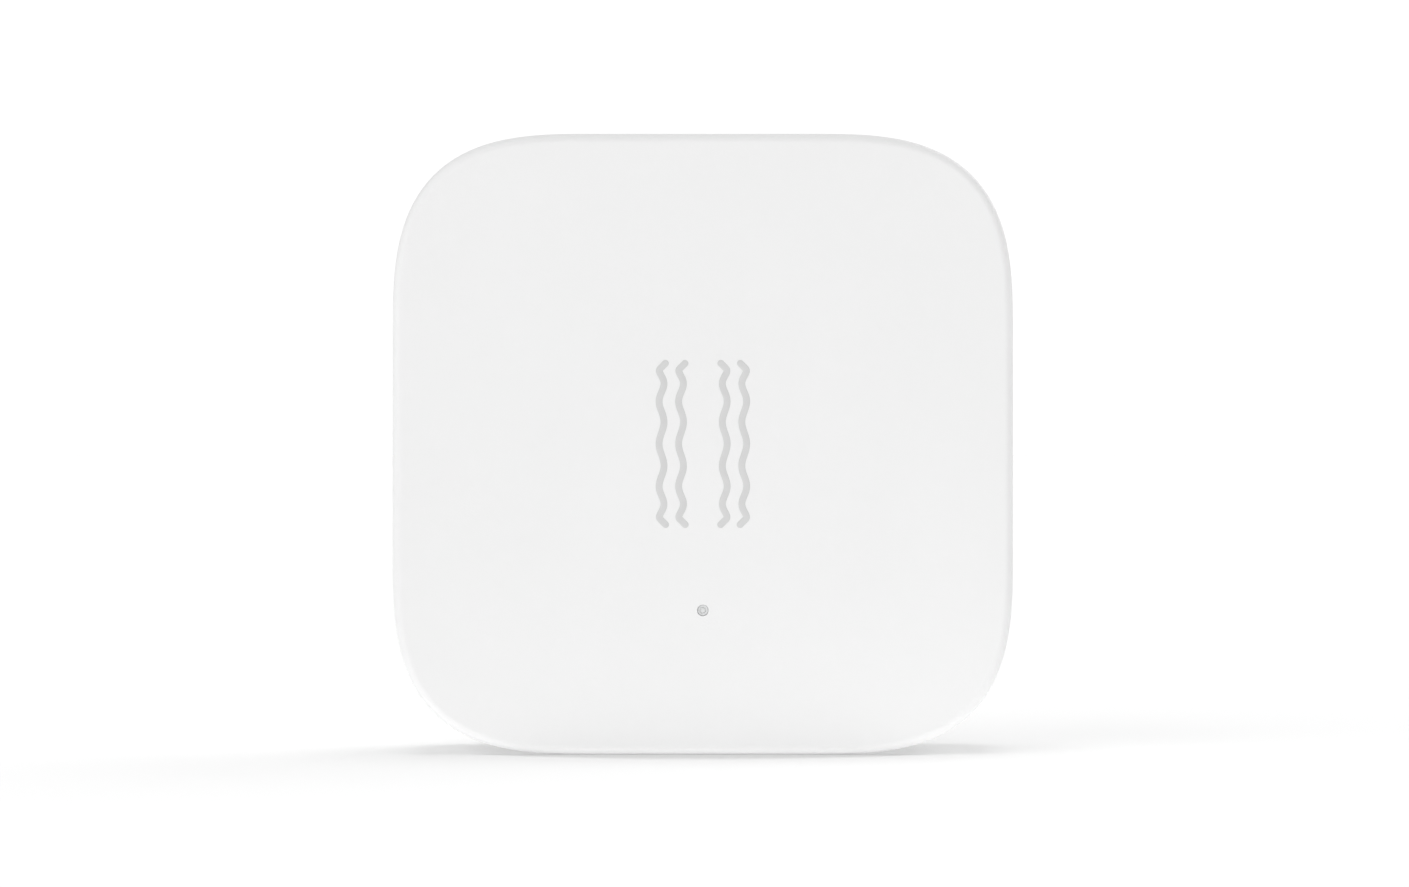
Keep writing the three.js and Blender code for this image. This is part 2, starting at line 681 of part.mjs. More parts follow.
// The battery door: rim plate with a coin slot, skirt, bayonet lugs and the rib that bears on the cell.
function batteryDoor() {
  const rimFront = BACK_Z + DOOR_RIM_THICKNESS;
  const plateFront = BACK_Z + DOOR_PLATE_THICKNESS;
  const edge = 0.2;
  const body = turned([
    [0, BACK_Z],
    [DOOR_RADIUS - edge, BACK_Z],
    [DOOR_RADIUS, BACK_Z + edge],
    [DOOR_RADIUS, rimFront],
    [SKIRT_RADIUS, rimFront],
    [SKIRT_RADIUS, SKIRT_FRONT_Z],
    [SKIRT_RADIUS - SKIRT_THICKNESS, SKIRT_FRONT_Z],
    [SKIRT_RADIUS - SKIRT_THICKNESS, plateFront],
    [0, plateFront],
  ], DOOR_SIDES);
  const lugs = LOCKED_ANGLES.map((angle) =>
    sector(SKIRT_RADIUS - 0.3, LUG_RADIUS, angle, LUG_HALF_ANGLE, LUG_BACK_Z, SKIRT_FRONT_Z),
  );
  const rib = ring(5.2, 6.2, plateFront - OVERLAP, CELL_BACK_Z - SLIP);
  const slot = slab(stadium(COIN_SLOT_LENGTH, COIN_SLOT_WIDTH), BACK_Z - OVERLAP, BACK_Z + COIN_SLOT_DEPTH);
  return cut(joined(body, ...lugs, rib), slot);
}

// The foam adhesive pad around the door.
function adhesivePad() {
  const plate = roundedPlate(PAD_INSET, BACK_Z - PAD_THICKNESS, BACK_Z);
  const opening = disc(PAD_HOLE_RADIUS, BACK_Z - 1, BACK_Z + 1, 0, 0, DOOR_SIDES);
  return cut(plate, opening);
}

// A small pan-head screw with a cross recess. Its head sits on the cradle ear.
function screw([x, y]) {
  const seat = EAR_BACK_Z - SOLDER;
  const headBack = seat - 0.75;
  const tip = seat + SCREW_LENGTH;
  const body = turned([
    [0, headBack],
    [SCREW_HEAD_RADIUS - 0.4, headBack],
    [SCREW_HEAD_RADIUS, headBack + 0.35],
    [SCREW_HEAD_RADIUS, seat],
    [SCREW_SHANK_RADIUS, seat],
    [SCREW_SHANK_RADIUS, tip - 0.6],
    [0.15, tip],
    [0, tip],
  ], PIN_SIDES);
  const arm = 0.7;
  const half = 0.17;
  const recessBack = headBack - OVERLAP;
  const recessFront = headBack + 0.45;
  const recess = joined(
    block(-arm, arm, -half, half, recessBack, recessFront),
    block(-half, half, -arm, arm, recessBack, recessFront),
  );
  return cut(body, recess).translate([x, y, 0]);
}

// ---------------------------------------------------------------- assembly

const bench = new THREE.Group();
bench.rotation.x = Math.PI / 2;
bench.position.z = HALF;

function add(name, shape, material) {
  const mesh = new THREE.Mesh(geometryOf(shape), MATERIALS[material]);
  mesh.name = name;
  bench.add(mesh);
}

add('front_cover', frontCover(), 'shell');
add('light_guide', lightGuide(), 'clear');
add('reset_button', resetButton(), 'shell');
add('switch_body', switchBody(), 'chip');
add('switch_cover', switchCover(), 'tinned');
add('switch_plunger', switchPlunger(), 'inner');
add('circuit_board', circuitBoard(), 'board');
add('aerial_track', aerialTrack(), 'copper');
add('radio_chip', chip(6, 6, 0.9, 1.5, 6.2), 'chip');
add('accelerometer', chip(2.5, 2.5, 1.0, 0, -1.5), 'chip');
add('memory_chip', chip(4.0, 3.0, 0.8, -8.2, 1.2), 'chip');
add('radio_crystal', chip(3.2, 2.5, 0.8, 8.2, 6.4), 'tinned');
add('clock_crystal', chip(3.2, 1.5, 0.8, 8.2, 2.6), 'tinned');
add('status_led', chip(1.6, 0.8, 0.5, 0, LIGHT_Y), 'lens');
add('reservoir_capacitor', twoEnded(3.2, 1.6, 1.5, -8.2, -6.4), 'ceramic');
add('power_inductor', twoEnded(2.0, 1.6, 1.2, 7.6, -5.4, 90), 'chip');

const CAPACITORS = [[-3.6, 6.2], [-3.6, 4.2], [5.6, 9.6], [-2.6, -1.5], [2.8, -1.5], [4.6, -5.4]];
CAPACITORS.forEach(([x, y], i) => {
  add(`capacitor_${i + 1}`, twoEnded(1, 0.5, 0.5, x, y, i % 2 ? 90 : 0), 'ceramic');
});
const RESISTORS = [[2.4, LIGHT_Y], [3.8, LIGHT_Y], [-6.4, 4.6], [-8.2, 4.6]];
RESISTORS.forEach(([x, y], i) => {
  add(`resistor_${i + 1}`, twoEnded(1, 0.5, 0.35, x, y, 90), 'chip');
});

add('negative_contact', negativeContact(), 'tinned');
add('positive_contact', positiveContact(), 'tinned');
add('battery_cradle', batteryCradle(), 'inner');
add('cell_can', cellCan(), 'steel');
add('cell_gasket', cellGasket(), 'gasket');
add('cell_electrodes', cellElectrodes(), 'electrode');
add('cell_cap', cellCap(), 'steel');
SCREWS.forEach((place, i) => add(`board_screw_${i + 1}`, screw(place), 'steel'));
add('back_cover', backCover(), 'shell');
add('battery_door', batteryDoor(), 'shell');
add('adhesive_pad', adhesivePad(), 'foam');

const sensor = new THREE.Group();
sensor.add(bench);

export default sensor;
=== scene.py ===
# %% [markdown]
# # A stick-on vibration sensor
# The object is a white rounded-square sensor, 41 mm across and 12 mm deep, that stands on its lower edge.
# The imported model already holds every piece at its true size, but as flat facets. Here each piece that can
# be seen is made again as a fine surface, and every piece gets a finish. Lengths are in metres, X goes to
# the right, Y goes away from the viewer and Z goes up, so the face looks along -Y.

import json
import math

import bmesh
import bpy
import numpy as np
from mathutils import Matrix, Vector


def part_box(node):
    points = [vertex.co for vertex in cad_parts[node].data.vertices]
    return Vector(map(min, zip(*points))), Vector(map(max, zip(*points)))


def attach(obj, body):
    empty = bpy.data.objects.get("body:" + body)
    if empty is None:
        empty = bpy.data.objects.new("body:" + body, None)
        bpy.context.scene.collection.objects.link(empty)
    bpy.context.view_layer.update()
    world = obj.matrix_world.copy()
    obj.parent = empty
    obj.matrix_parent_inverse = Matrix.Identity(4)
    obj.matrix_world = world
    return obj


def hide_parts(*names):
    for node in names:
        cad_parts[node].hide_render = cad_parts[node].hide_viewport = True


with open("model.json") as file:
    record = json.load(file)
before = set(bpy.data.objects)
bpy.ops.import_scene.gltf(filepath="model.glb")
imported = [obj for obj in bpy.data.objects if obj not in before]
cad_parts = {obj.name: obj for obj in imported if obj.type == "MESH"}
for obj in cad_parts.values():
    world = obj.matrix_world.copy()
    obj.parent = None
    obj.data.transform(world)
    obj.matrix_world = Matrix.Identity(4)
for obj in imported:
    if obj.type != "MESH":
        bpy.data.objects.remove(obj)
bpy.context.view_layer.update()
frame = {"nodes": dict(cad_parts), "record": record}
scene = bpy.context.scene
MM = 0.001

# %% [markdown]
# ## Where things are
# The loaded nodes give the places: the case's box gives its half width, its middle and its face, and so on.
# Only what a box can't tell, such as how round a corner is, is a number of its own. A reader who changes
# the CAD model gets the new sizes here without touching this cell.

# %% Read the main sizes from the nodes
case_low, case_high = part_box("front_cover")
HALF = (case_high.x - case_low.x) / 2
MIDDLE_Z = (case_high.z + case_low.z) / 2
FACE_Y = case_low.y
RIM_Y = case_high.y
BACK_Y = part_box("back_cover")[1].y
pad_low, pad_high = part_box("adhesive_pad")
door_low, door_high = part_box("battery_door")
DOOR_RADIUS = (door_high.x - door_low.x) / 2
button_low, button_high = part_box("reset_button")
BUTTON_Y = (button_low.y + button_high.y) / 2
light_low, light_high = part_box("light_guide")
LIGHT_Z = (light_low.z + light_high.z) / 2
print(f"case half width {HALF / MM:.2f} mm, face at y {FACE_Y / MM:.2f} mm, back at y {BACK_Y / MM:.2f} mm")

# %% [markdown]
# ## Camera
# The sensor is seen exactly square on, from its own mid height. A long lens from 0.3 m keeps the case's
# sides out of sight and still shows the floor in front of it and behind it. The frame is 93 mm wide at the
# face.

# %% Make the camera
FRAME_WIDTH = 92.94 * MM
CAMERA_DISTANCE = 300 * MM
CAMERA_X = 0.11 * MM
CAMERA_RISE = 0.03 * MM
camera = bpy.data.objects.new("camera", bpy.data.cameras.new("camera"))
scene.collection.objects.link(camera)
camera.location = (CAMERA_X, FACE_Y - CAMERA_DISTANCE, MIDDLE_Z + CAMERA_RISE)
camera.rotation_euler = (math.pi / 2, 0, 0)
camera.data.sensor_width = 36
camera.data.lens = camera.data.sensor_width * CAMERA_DISTANCE / FRAME_WIDTH
camera.data.clip_start = 10 * MM
camera.data.clip_end = 50
scene.camera = camera
print(f"lens {camera.data.lens:.1f} mm")

# %% [markdown]
# ## Floor and light
# The look is a bright, nearly shadowless product picture: white paper, and the same soft light from all
# round. The world is that light. It is a little weaker from the left and right and a little stronger from
# above, which keeps the form readable from every side, and the camera itself sees it as plain white. Two
# broad lamps, front left and back right, each throw one long, faint shadow.
#
# Light linking says which things a lamp lights, and which things throw its shadow. Two lamps overhead light
# only the paper. The broad, stronger one is stopped by the sensor, which lays a soft shade under it. The
# narrow, weaker one is stopped by a flag, a folded card that only this lamp sees, and draws a thin dark
# line along the sensor's lower edge. The card is as tall as the sensor in the middle and comes down to
# nothing at its ends, so the line thins out there. The last three lamps light only the sensor, from in
# front of it and below, as bright paper does.

# %% Make the floor
FLOOR_TONE = 0.65
FLOOR_REACH = 8.0
floor_mesh = bpy.data.meshes.new("floor")
signs = np.array([(-1, -1, 0), (1, -1, 0), (1, 1, 0), (-1, 1, 0)])
floor_mesh.from_pydata((FLOOR_REACH * signs).tolist(), [], [(0, 1, 2, 3)])
floor = bpy.data.objects.new("floor", floor_mesh)
scene.collection.objects.link(floor)
floor_finish = bpy.data.materials.new("floor_paper")
floor_finish.use_nodes = True
floor_shader = floor_finish.node_tree.nodes["Principled BSDF"]
floor_shader.inputs["Base Color"].default_value = (FLOOR_TONE, FLOOR_TONE, FLOOR_TONE, 1)
floor_shader.inputs["Roughness"].default_value = 0.9
floor_shader.inputs["Specular IOR Level"].default_value = 0.0
floor_mesh.materials.append(floor_finish)

# %% Make the light from all round
SKY_LEVEL = 0.62
SKY_RISE = 0.1
SKY_SIDE_LOSS = 0.1
BACKDROP = 1.05
world = bpy.data.worlds.new("studio")
world.use_nodes = True
scene.world = world
sky = world.node_tree
place = sky.nodes.new("ShaderNodeTexCoord")
split = sky.nodes.new("ShaderNodeSeparateXYZ")
rise = sky.nodes.new("ShaderNodeMapRange")
rise.inputs["To Min"].default_value = SKY_LEVEL
rise.inputs["To Max"].default_value = SKY_LEVEL + SKY_RISE
sideways = sky.nodes.new("ShaderNodeMath")
sideways.operation = "ABSOLUTE"
loss = sky.nodes.new("ShaderNodeMath")
loss.operation = "MULTIPLY_ADD"
loss.inputs[1].default_value = -SKY_SIDE_LOSS
backdrop = sky.nodes.new("ShaderNodeBackground")
backdrop.inputs["Color"].default_value = (1, 1, 1, 1)
backdrop.inputs["Strength"].default_value = BACKDROP
path = sky.nodes.new("ShaderNodeLightPath")
seen = sky.nodes.new("ShaderNodeMixShader")
dome = sky.nodes["Background"]
dome.inputs["Color"].default_value = (1, 1, 1, 1)
sky.links.new(place.outputs["Generated"], split.inputs["Vector"])
sky.links.new(split.outputs["Z"], rise.inputs["Value"])
sky.links.new(split.outputs["X"], sideways.inputs[0])
sky.links.new(sideways.outputs["Value"], loss.inputs[0])
sky.links.new(rise.outputs["Result"], loss.inputs[2])
sky.links.new(loss.outputs["Value"], dome.inputs["Strength"])
sky.links.new(path.outputs["Is Camera Ray"], seen.inputs["Fac"])
sky.links.new(dome.outputs["Background"], seen.inputs[1])
sky.links.new(backdrop.outputs["Background"], seen.inputs[2])
sky.links.new(seen.outputs["Shader"], sky.nodes["World Output"].inputs["Surface"])
scene.view_settings.view_transform = "Standard"

# %% Fold the flag that shapes the line of shadow
FLAG_Y = FACE_Y + 0.6 * MM
FLAG_REACH = 15.5 * MM
FLAG_HEIGHT = 2 * HALF
FLAG_FOOT = (10 * MM, 8 * MM)
FLAG_LIFT = 0.02 * MM
across = np.linspace(-FLAG_REACH, FLAG_REACH, 61)
upright_y = np.full(across.shape, FLAG_Y)
lifted = np.full(across.shape, FLAG_LIFT)
flag_top = FLAG_LIFT + FLAG_HEIGHT * (1 - (across / FLAG_REACH) ** 2)
flag_back = FLAG_Y + FLAG_FOOT[1] * np.clip(1 - (across / FLAG_FOOT[0]) ** 2, 0, 1)
flag_rows = [(across, upright_y, flag_top), (across, upright_y, lifted), (across, flag_back, lifted)]
flag_points = np.concatenate([np.stack(row, axis=1) for row in flag_rows])
corner = np.add.outer(np.arange(2) * len(across), np.arange(len(across) - 1)).ravel()
flag_faces = np.stack([corner, corner + 1, corner + 1 + len(across), corner + len(across)], axis=1)
flag_mesh = bpy.data.meshes.new("flag")
flag_mesh.from_pydata(flag_points.tolist(), [], flag_faces.tolist())
flag = bpy.data.objects.new("flag", flag_mesh)
scene.collection.objects.link(flag)
flag.visible_camera = False
flag.visible_diffuse = False
flag.visible_glossy = False
flag.visible_transmission = False


# %% Say what each lamp lights and what stops it
def linked_set(name, state, *members):
    """A collection for light linking. INCLUDE means only its members, EXCLUDE all but its members."""
    group = bpy.data.collections.new(name)
    for member in members:
        group.objects.link(member)
    for entry in group.collection_objects:
        entry.light_linking.link_state = state
    return group


paper_only = linked_set("paper_only", "INCLUDE", floor)
flag_only = linked_set("flag_only", "INCLUDE", flag)
all_but_flag = linked_set("all_but_flag", "EXCLUDE", flag)
sensor_only = linked_set("sensor_only", "EXCLUDE", floor, flag)


# %% Hang the lamps
def lamp(name, azimuth, elevation, softness, strength, lights=None, stopped_by=all_but_flag):
    """A lamp so far away that its light is parallel. Softness is how wide it looks, in degrees.

    Azimuth 0 is in front of the sensor, and 90 is to its right.
    """
    data = bpy.data.lights.new(name, "SUN")
    data.angle = math.radians(softness)
    data.energy = strength
    holder = bpy.data.objects.new(name, data)
    scene.collection.objects.link(holder)
    around, above = math.radians(azimuth), math.radians(elevation)
    out = math.cos(above)
    holder.location = (out * math.sin(around), -out * math.cos(around), math.sin(above))
    holder.rotation_euler = (math.pi / 2 - above, 0, around)
    holder.light_linking.receiver_collection = lights
    holder.light_linking.blocker_collection = stopped_by
    return holder


lamp("lamp_front_left", -48, 36, 50, 0.75)
lamp("lamp_back_right", 132, 36, 50, 0.75)
lamp("lamp_overhead", 184, 86, 32, 1.15, paper_only)
lamp("lamp_line", 184, 83.6, 4, 0.9, paper_only, flag_only)
lamp("lamp_bounce", 0, -25, 50, 0.12, sensor_only, sensor_only)
below = lamp("lamp_below", 0, -80, 50, 0.88, sensor_only, sensor_only)
# Seen from above, the face would mirror this lamp and lose its print, so it gives no reflections.
below.visible_glossy = False
CARD_WIDTH = 46 * MM
CARD_HEIGHT = 10 * MM
CARD_DISTANCE = 12 * MM
CARD_DROP = 6 * MM
CARD_TILT = 27
CARD_WATTS = 0.0006
card_data = bpy.data.lights.new("lamp_card", "AREA")
card_data.shape = "RECTANGLE"
card_data.size = CARD_WIDTH
card_data.size_y = CARD_HEIGHT
card_data.energy = CARD_WATTS
card = bpy.data.objects.new("lamp_card", card_data)
scene.collection.objects.link(card)
card.location = (0, FACE_Y - CARD_DISTANCE, -CARD_DROP)
card.rotation_euler = (math.radians(90 + CARD_TILT), 0, 0)
card.light_linking.receiver_collection = sensor_only
card.light_linking.blocker_collection = sensor_only

# %% [markdown]
# ## Finishes
# Each material is one Principled shader with a texture group in front of it. A group only says where the
# surface is lighter, where it is smoother and where it is higher. The material turns those three masks into
# a colour, a roughness and a fine relief, so one group serves many finishes. All patterns read Object
# coordinates: every mesh holds its own place in metres, so a scale of 1000 means one cell in each
# millimetre.


# %% Helpers for nodes
def add_node(tree, kind, inputs, **settings):
    """Add a shader node. Each input, by name or number, gets a value or the output socket that feeds it."""
    node = tree.nodes.new(kind)
    for key, value in settings.items():
        setattr(node, key, value)
    for key, value in inputs.items():
        if isinstance(value, bpy.types.NodeSocket):
            tree.links.new(value, node.inputs[key])
        else:
            node.inputs[key].default_value = value
    return node


def texture_group(name, inputs):
    """A new node group with number inputs, and the outputs Tone, Gloss and Height, each from 0 to 1.

    It gives the tree, the input values, the place of each point, and the sockets that the outputs end in.
    """
    tree = bpy.data.node_groups.new(name, "ShaderNodeTree")
    for title, value in inputs.items():
        socket = tree.interface.new_socket(title, in_out="INPUT", socket_type="NodeSocketFloat")
        socket.default_value = value
    for title in ("Tone", "Gloss", "Height"):
        tree.interface.new_socket(title, in_out="OUTPUT", socket_type="NodeSocketFloat")
    values = tree.nodes.new("NodeGroupInput").outputs
    place = tree.nodes.new("ShaderNodeTexCoord").outputs["Object"]
    return tree, values, place, tree.nodes.new("NodeGroupOutput").inputs


# The Mix node keeps one set of sockets for each kind of value. These are the numbers of the colour ones.
COLOUR_A, COLOUR_B, COLOUR_OUT = 6, 7, 2
finishes = {}


def make_finish(slot, group, settings, dark, light, gloss, depth, **own):
    """A material whose colour and roughness each run between two values, over a fine relief.

    Tone picks the colour between dark and light, Gloss the roughness between the two of gloss, and Height
    times depth, in metres, is the relief. Values that don't change over the surface go on the shader's own
    sockets.
    """
    finish = bpy.data.materials.new(slot)
    finish.use_nodes = True
    tree = finish.node_tree
    shader = tree.nodes["Principled BSDF"]
    texture = add_node(tree, "ShaderNodeGroup", settings, node_tree=group).outputs
    ends = {0: texture["Tone"], COLOUR_A: (*dark, 1), COLOUR_B: (*light, 1)}
    colour = add_node(tree, "ShaderNodeMix", ends, data_type="RGBA")
    limits = {"Value": texture["Gloss"], "To Min": gloss[0], "To Max": gloss[1]}
    roughness = add_node(tree, "ShaderNodeMapRange", limits)
    relief = add_node(tree, "ShaderNodeBump", {"Height": texture["Height"], "Distance": depth})
    tree.links.new(colour.outputs[COLOUR_OUT], shader.inputs["Base Color"])
    tree.links.new(roughness.outputs["Result"], shader.inputs["Roughness"])
    tree.links.new(relief.outputs["Normal"], shader.inputs["Normal"])
    for socket, value in own.items():
        shader.inputs[socket.replace("_", " ")].default_value = value
    finishes[slot] = finish
    return finish


# %% [markdown]
# ## Moulded plastic
# The white plastic is moulded against steel that spark erosion has made matt, so it has a very fine, even
# grain. Under the grain the colour and the shine drift a little, as pigment and handling leave them. The
# drift is only about one part in a hundred, because this finish has to look clean. The back and the inner
# parts share the group with a coarser grain, and the black resin of the chips has it too.

# %% Make the moulded plastics
moulded, values, place, result = texture_group("moulded_grain", {"Grain": 7000, "Drift": 110})
fine = add_node(moulded, "ShaderNodeTexNoise", {"Vector": place, "Scale": values["Grain"], "Detail": 2})
drift = add_node(moulded, "ShaderNodeTexNoise", {"Vector": place, "Scale": values["Drift"], "Detail": 3})
finer_drift = {0: values["Drift"], 1: 3.7}
touch_scale = add_node(moulded, "ShaderNodeMath", finer_drift, operation="MULTIPLY")
touch_inputs = {"Vector": place, "Scale": touch_scale.outputs[0], "Detail": 4, "Distortion": 0.6}
touch = add_node(moulded, "ShaderNodeTexNoise", touch_inputs)
moulded.links.new(drift.outputs["Fac"], result["Tone"])
moulded.links.new(touch.outputs["Fac"], result["Gloss"])
moulded.links.new(fine.outputs["Fac"], result["Height"])


def grey(level, warmth=0.0):
    """A nearly neutral colour: warmth takes that much off blue and half as much off green."""
    return (level, level - warmth / 2, level - warmth)


micron = 1e-6
make_finish(
    "case_plastic", moulded, {"Grain": 7000}, grey(0.825), grey(0.85), (0.38, 0.5), 6 * micron
)
make_finish(
    "button_plastic", moulded, {"Grain": 9000}, grey(0.82), grey(0.85), (0.32, 0.44), 5 * micron
)
make_finish(
    "back_plastic", moulded, {"Grain": 4500}, grey(0.79), grey(0.83), (0.5, 0.64), 22 * micron
)
make_finish(
    "inner_plastic", moulded, {"Grain": 5000, "Drift": 200}, grey(0.62, 0.02), grey(0.72, 0.03),
    (0.4, 0.55), 5 * micron
)
make_finish(
    "black_moulding", moulded, {"Grain": 9000, "Drift": 600}, grey(0.009), grey(0.018), (0.42, 0.6),
    5 * micron
)
print("moulded finishes:", sorted(finishes))

# %% [markdown]
# ## Surfaces from grids
# Every new piece is a grid of points: rings placed one after another, each ring with the same number of
# points. numpy works out all the points of a grid at once. One function turns any such grid into a closed
# mesh. Where a ring shrinks to a point, or two rings meet, the doubled points are merged, so no seam or
# pole stays open.


# %% Turn a grid of points into a mesh
def grid_piece(name, grid, loops=False):
    """A closed mesh from a (rings, points, 3) array.

    Neighbouring points of neighbouring rings make one four-sided face. The last point of a ring joins the
    first. With loops the last ring joins the first one as well, and without it the two end rings are filled
    flat.
    """
    rings, count = grid.shape[:2]
    row, column = np.meshgrid(np.arange(rings if loops else rings - 1), np.arange(count), indexing="ij")
    next_row, next_column = (row + 1) % rings, (column + 1) % count
    corners = [(row, column), (row, next_column), (next_row, next_column), (next_row, column)]
    faces = np.stack([r * count + c for r, c in corners], -1).reshape(-1, 4).tolist()
    if not loops:
        faces.append(list(range(count - 1, -1, -1)))
        faces.append(list(range((rings - 1) * count, rings * count)))
    mesh = bpy.data.meshes.new(name)
    mesh.from_pydata(grid.reshape(-1, 3).tolist(), [], faces)
    shape = bmesh.new()
    shape.from_mesh(mesh)
    bmesh.ops.remove_doubles(shape, verts=shape.verts, dist=1e-7)
    bmesh.ops.recalc_face_normals(shape, faces=shape.faces)
    shape.to_mesh(mesh)
    shape.free()
    piece = bpy.data.objects.new(name, mesh)
    scene.collection.objects.link(piece)
    return piece


def bend(start, end, along, steps=8, lead=0.0):
    """A quarter of an ellipse between two profile points, as a (points, 2) array.

    It leaves start along coordinate number along, and arrives at end along the other coordinate: with t
    from 0 to a quarter turn, the first goes by sin t and the other by 1 - cos t. A lead adds a point on the
    flat before it and after it, which keeps the flats flat when the surface is shaded smoothly.
    """
    start, end = np.array(start, float), np.array(end, float)
    t = np.linspace(0, np.pi / 2, steps + 1)
    share = np.zeros((steps + 1, 2))
    share[:, along] = np.sin(t)
    share[:, 1 - along] = 1 - np.cos(t)
    points = start + (end - start) * share
    if lead:
        step = np.sign(end - start) * lead
        before = start - step * (np.arange(2) == along)
        after = end + step * (np.arange(2) != along)
        points = np.vstack([before, points, after])
    return points


# %% [markdown]
# Pieces that are joined or cut use a Boolean modifier, applied at once. The tool is another grid piece, and
# it is thrown away afterwards. A tool that widens at its mouth leaves a rounded edge, as a moulded opening
# has.


# %% Join and cut pieces
def carve(piece, tools, operation):
    """Cut the tools out of a piece (DIFFERENCE) or join them on (UNION), and keep the resulting mesh."""
    for tool in tools:
        step = piece.modifiers.new(tool.name, "BOOLEAN")
        step.operation = operation
        step.solver = "EXACT"
        step.object = tool
    bpy.context.view_layer.update()
    evaluated = piece.evaluated_get(bpy.context.evaluated_depsgraph_get())
    old, piece.data = piece.data, bpy.data.meshes.new_from_object(evaluated)
    piece.modifiers.clear()
    piece.data.name = piece.name
    bpy.data.meshes.remove(old)
    for tool in tools:
        bpy.data.meshes.remove(tool.data)
    return piece


def finish_piece(piece, body, slot, nodes=(), sharp=30, look=None):
    """Shade a piece smoothly up to a sharp angle in degrees, and say what it rides on and stands for."""
    piece.data.materials.clear()
    piece.data.materials.append(look or finishes[slot])
    piece.data.shade_smooth()
    piece.data.set_sharp_from_angle(angle=math.radians(sharp))
    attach(piece, body)
    if nodes:
        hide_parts(*nodes)
    low = np.array([v.co for v in piece.data.vertices]).min(0) / MM
    high = np.array([v.co for v in piece.data.vertices]).max(0) / MM
    print(f"{piece.name}: {len(piece.data.polygons)} faces, {low.round(2)} to {high.round(2)} mm")
    return piece


# %% [markdown]
# ## The rounded square
# The case is a square whose corners aren't arcs of circles. A circle would start its bend suddenly, and the
# eye sees that as a kink in the reflections. These corners are quarters of a superellipse, which bend
# gently at first and most at their middle. Round openings, such as the battery door's, need rings that fit
# the same number of points, so a circle takes one point in the direction of each point of the outline.

# %% Work out the outline
CORNER = 13.2 * MM
CORNER_POWER = 3
STRAIGHT = HALF - CORNER
ARC_STEPS = 40
STRAIGHT_STEPS = 24


def rounded_square():
    """Points and outward normals round the case, each a (points, 2) array in x and z about the middle.

    A corner is |u|^n + |v|^n = 1 with n the corner's power. In the direction t it is at the distance
    (cos^n t + sin^n t)^(-1/n), and its normal is (u^(n-1), v^(n-1)). Four quarter turns make the outline.
    """
    t = np.linspace(0, np.pi / 2, ARC_STEPS + 1)
    ray = np.stack([np.cos(t), np.sin(t)], -1)
    arc = ray * (ray**CORNER_POWER).sum(-1, keepdims=True) ** (-1 / CORNER_POWER)
    normal = arc ** (CORNER_POWER - 1)
    normal /= np.linalg.norm(normal, axis=-1, keepdims=True)
    x = np.linspace(STRAIGHT, -STRAIGHT, STRAIGHT_STEPS + 1)[1:-1]
    points = np.vstack([STRAIGHT + CORNER * arc, np.stack([x, np.full_like(x, HALF)], -1)])
    normals = np.vstack([normal, np.tile([0.0, 1.0], (len(x), 1))])
    turn = np.array([[0, 1], [-1, 0]])
    turns = [np.linalg.matrix_power(turn, quarter) for quarter in range(4)]
    return np.vstack([points @ m for m in turns]), np.vstack([normals @ m for m in turns])


OUTLINE, OUTLINE_NORMAL = rounded_square()


def square_rings(profile):
    """Rounded-square rings from a (rings, 2) array of inset and y: outline - inset * normal, at depth y."""
    inset, y = np.asarray(profile, float).T[..., None]
    x = OUTLINE[:, 0] - inset * OUTLINE_NORMAL[:, 0]
    z = OUTLINE[:, 1] - inset * OUTLINE_NORMAL[:, 1] + MIDDLE_Z
    return np.stack([x, y + 0 * x, z], -1)


def round_rings(profile, centre_z=MIDDLE_Z):
    """Circles from a (rings, 2) array of radius and y, with one point towards each point of the outline.

    A point is centre + radius * (outline - centre) / |outline - centre|.
    """
    radius, y = np.asarray(profile, float).T[..., None]
    ray = OUTLINE + [0, MIDDLE_Z - centre_z]
    ray = ray / np.linalg.norm(ray, axis=-1, keepdims=True)
    x = radius * ray[:, 0]
    return np.stack([x, y + 0 * x, centre_z + radius * ray[:, 1]], -1)


print(f"outline of {len(OUTLINE)} points, {np.ptp(OUTLINE[:, 0]) / MM:.2f} mm across")


# %% Solids for joining and cutting
def turned(name, profile, x=0.0, z=MIDDLE_Z, sides=96, closed=False):
    """A solid of revolution about a line along Y, from a (points, 2) array of radius and y.

    A closed profile is a section that doesn't touch the line, such as a ring's.
    """
    radius, y = np.asarray(profile, float).T[..., None]
    t = np.linspace(0, 2 * np.pi, sides, endpoint=False)
    grid = np.stack([x + radius * np.cos(t), y + 0 * t, z + radius * np.sin(t)], -1)
    return grid_piece(name, grid, loops=closed)


def pin(name, radius, y0, y1, x=0.0, z=MIDDLE_Z, sides=48):
    """A plain round pin along Y."""
    return turned(name, [(0, y0), (radius, y0), (radius, y1), (0, y1)], x, z, sides)


def rectangle(y0, y1, z0, z1):
    """The corners of a bar's section, in order, as (y, z) points. z counts from the case's middle."""
    return [(y0, z0), (y1, z0), (y1, z1), (y0, z1)]


def prism(name, section, x0, x1, quarter=0):
    """A straight bar along X from a section of (y, z) points, with z counted from the case's middle.

    The bar is then turned round the case's middle by a number of quarter turns, which may be a half.
    """
    section = np.asarray(section, float)
    ends = [np.column_stack([np.full(len(section), x), section]) for x in (x0, x1)]
    grid = np.stack(ends)
    angle = quarter * np.pi / 2
    x, z = grid[..., 0].copy(), grid[..., 2].copy()
    grid[..., 0] = x * np.cos(angle) - z * np.sin(angle)
    grid[..., 2] = x * np.sin(angle) + z * np.cos(angle) + MIDDLE_Z
    return grid_piece(name, grid)


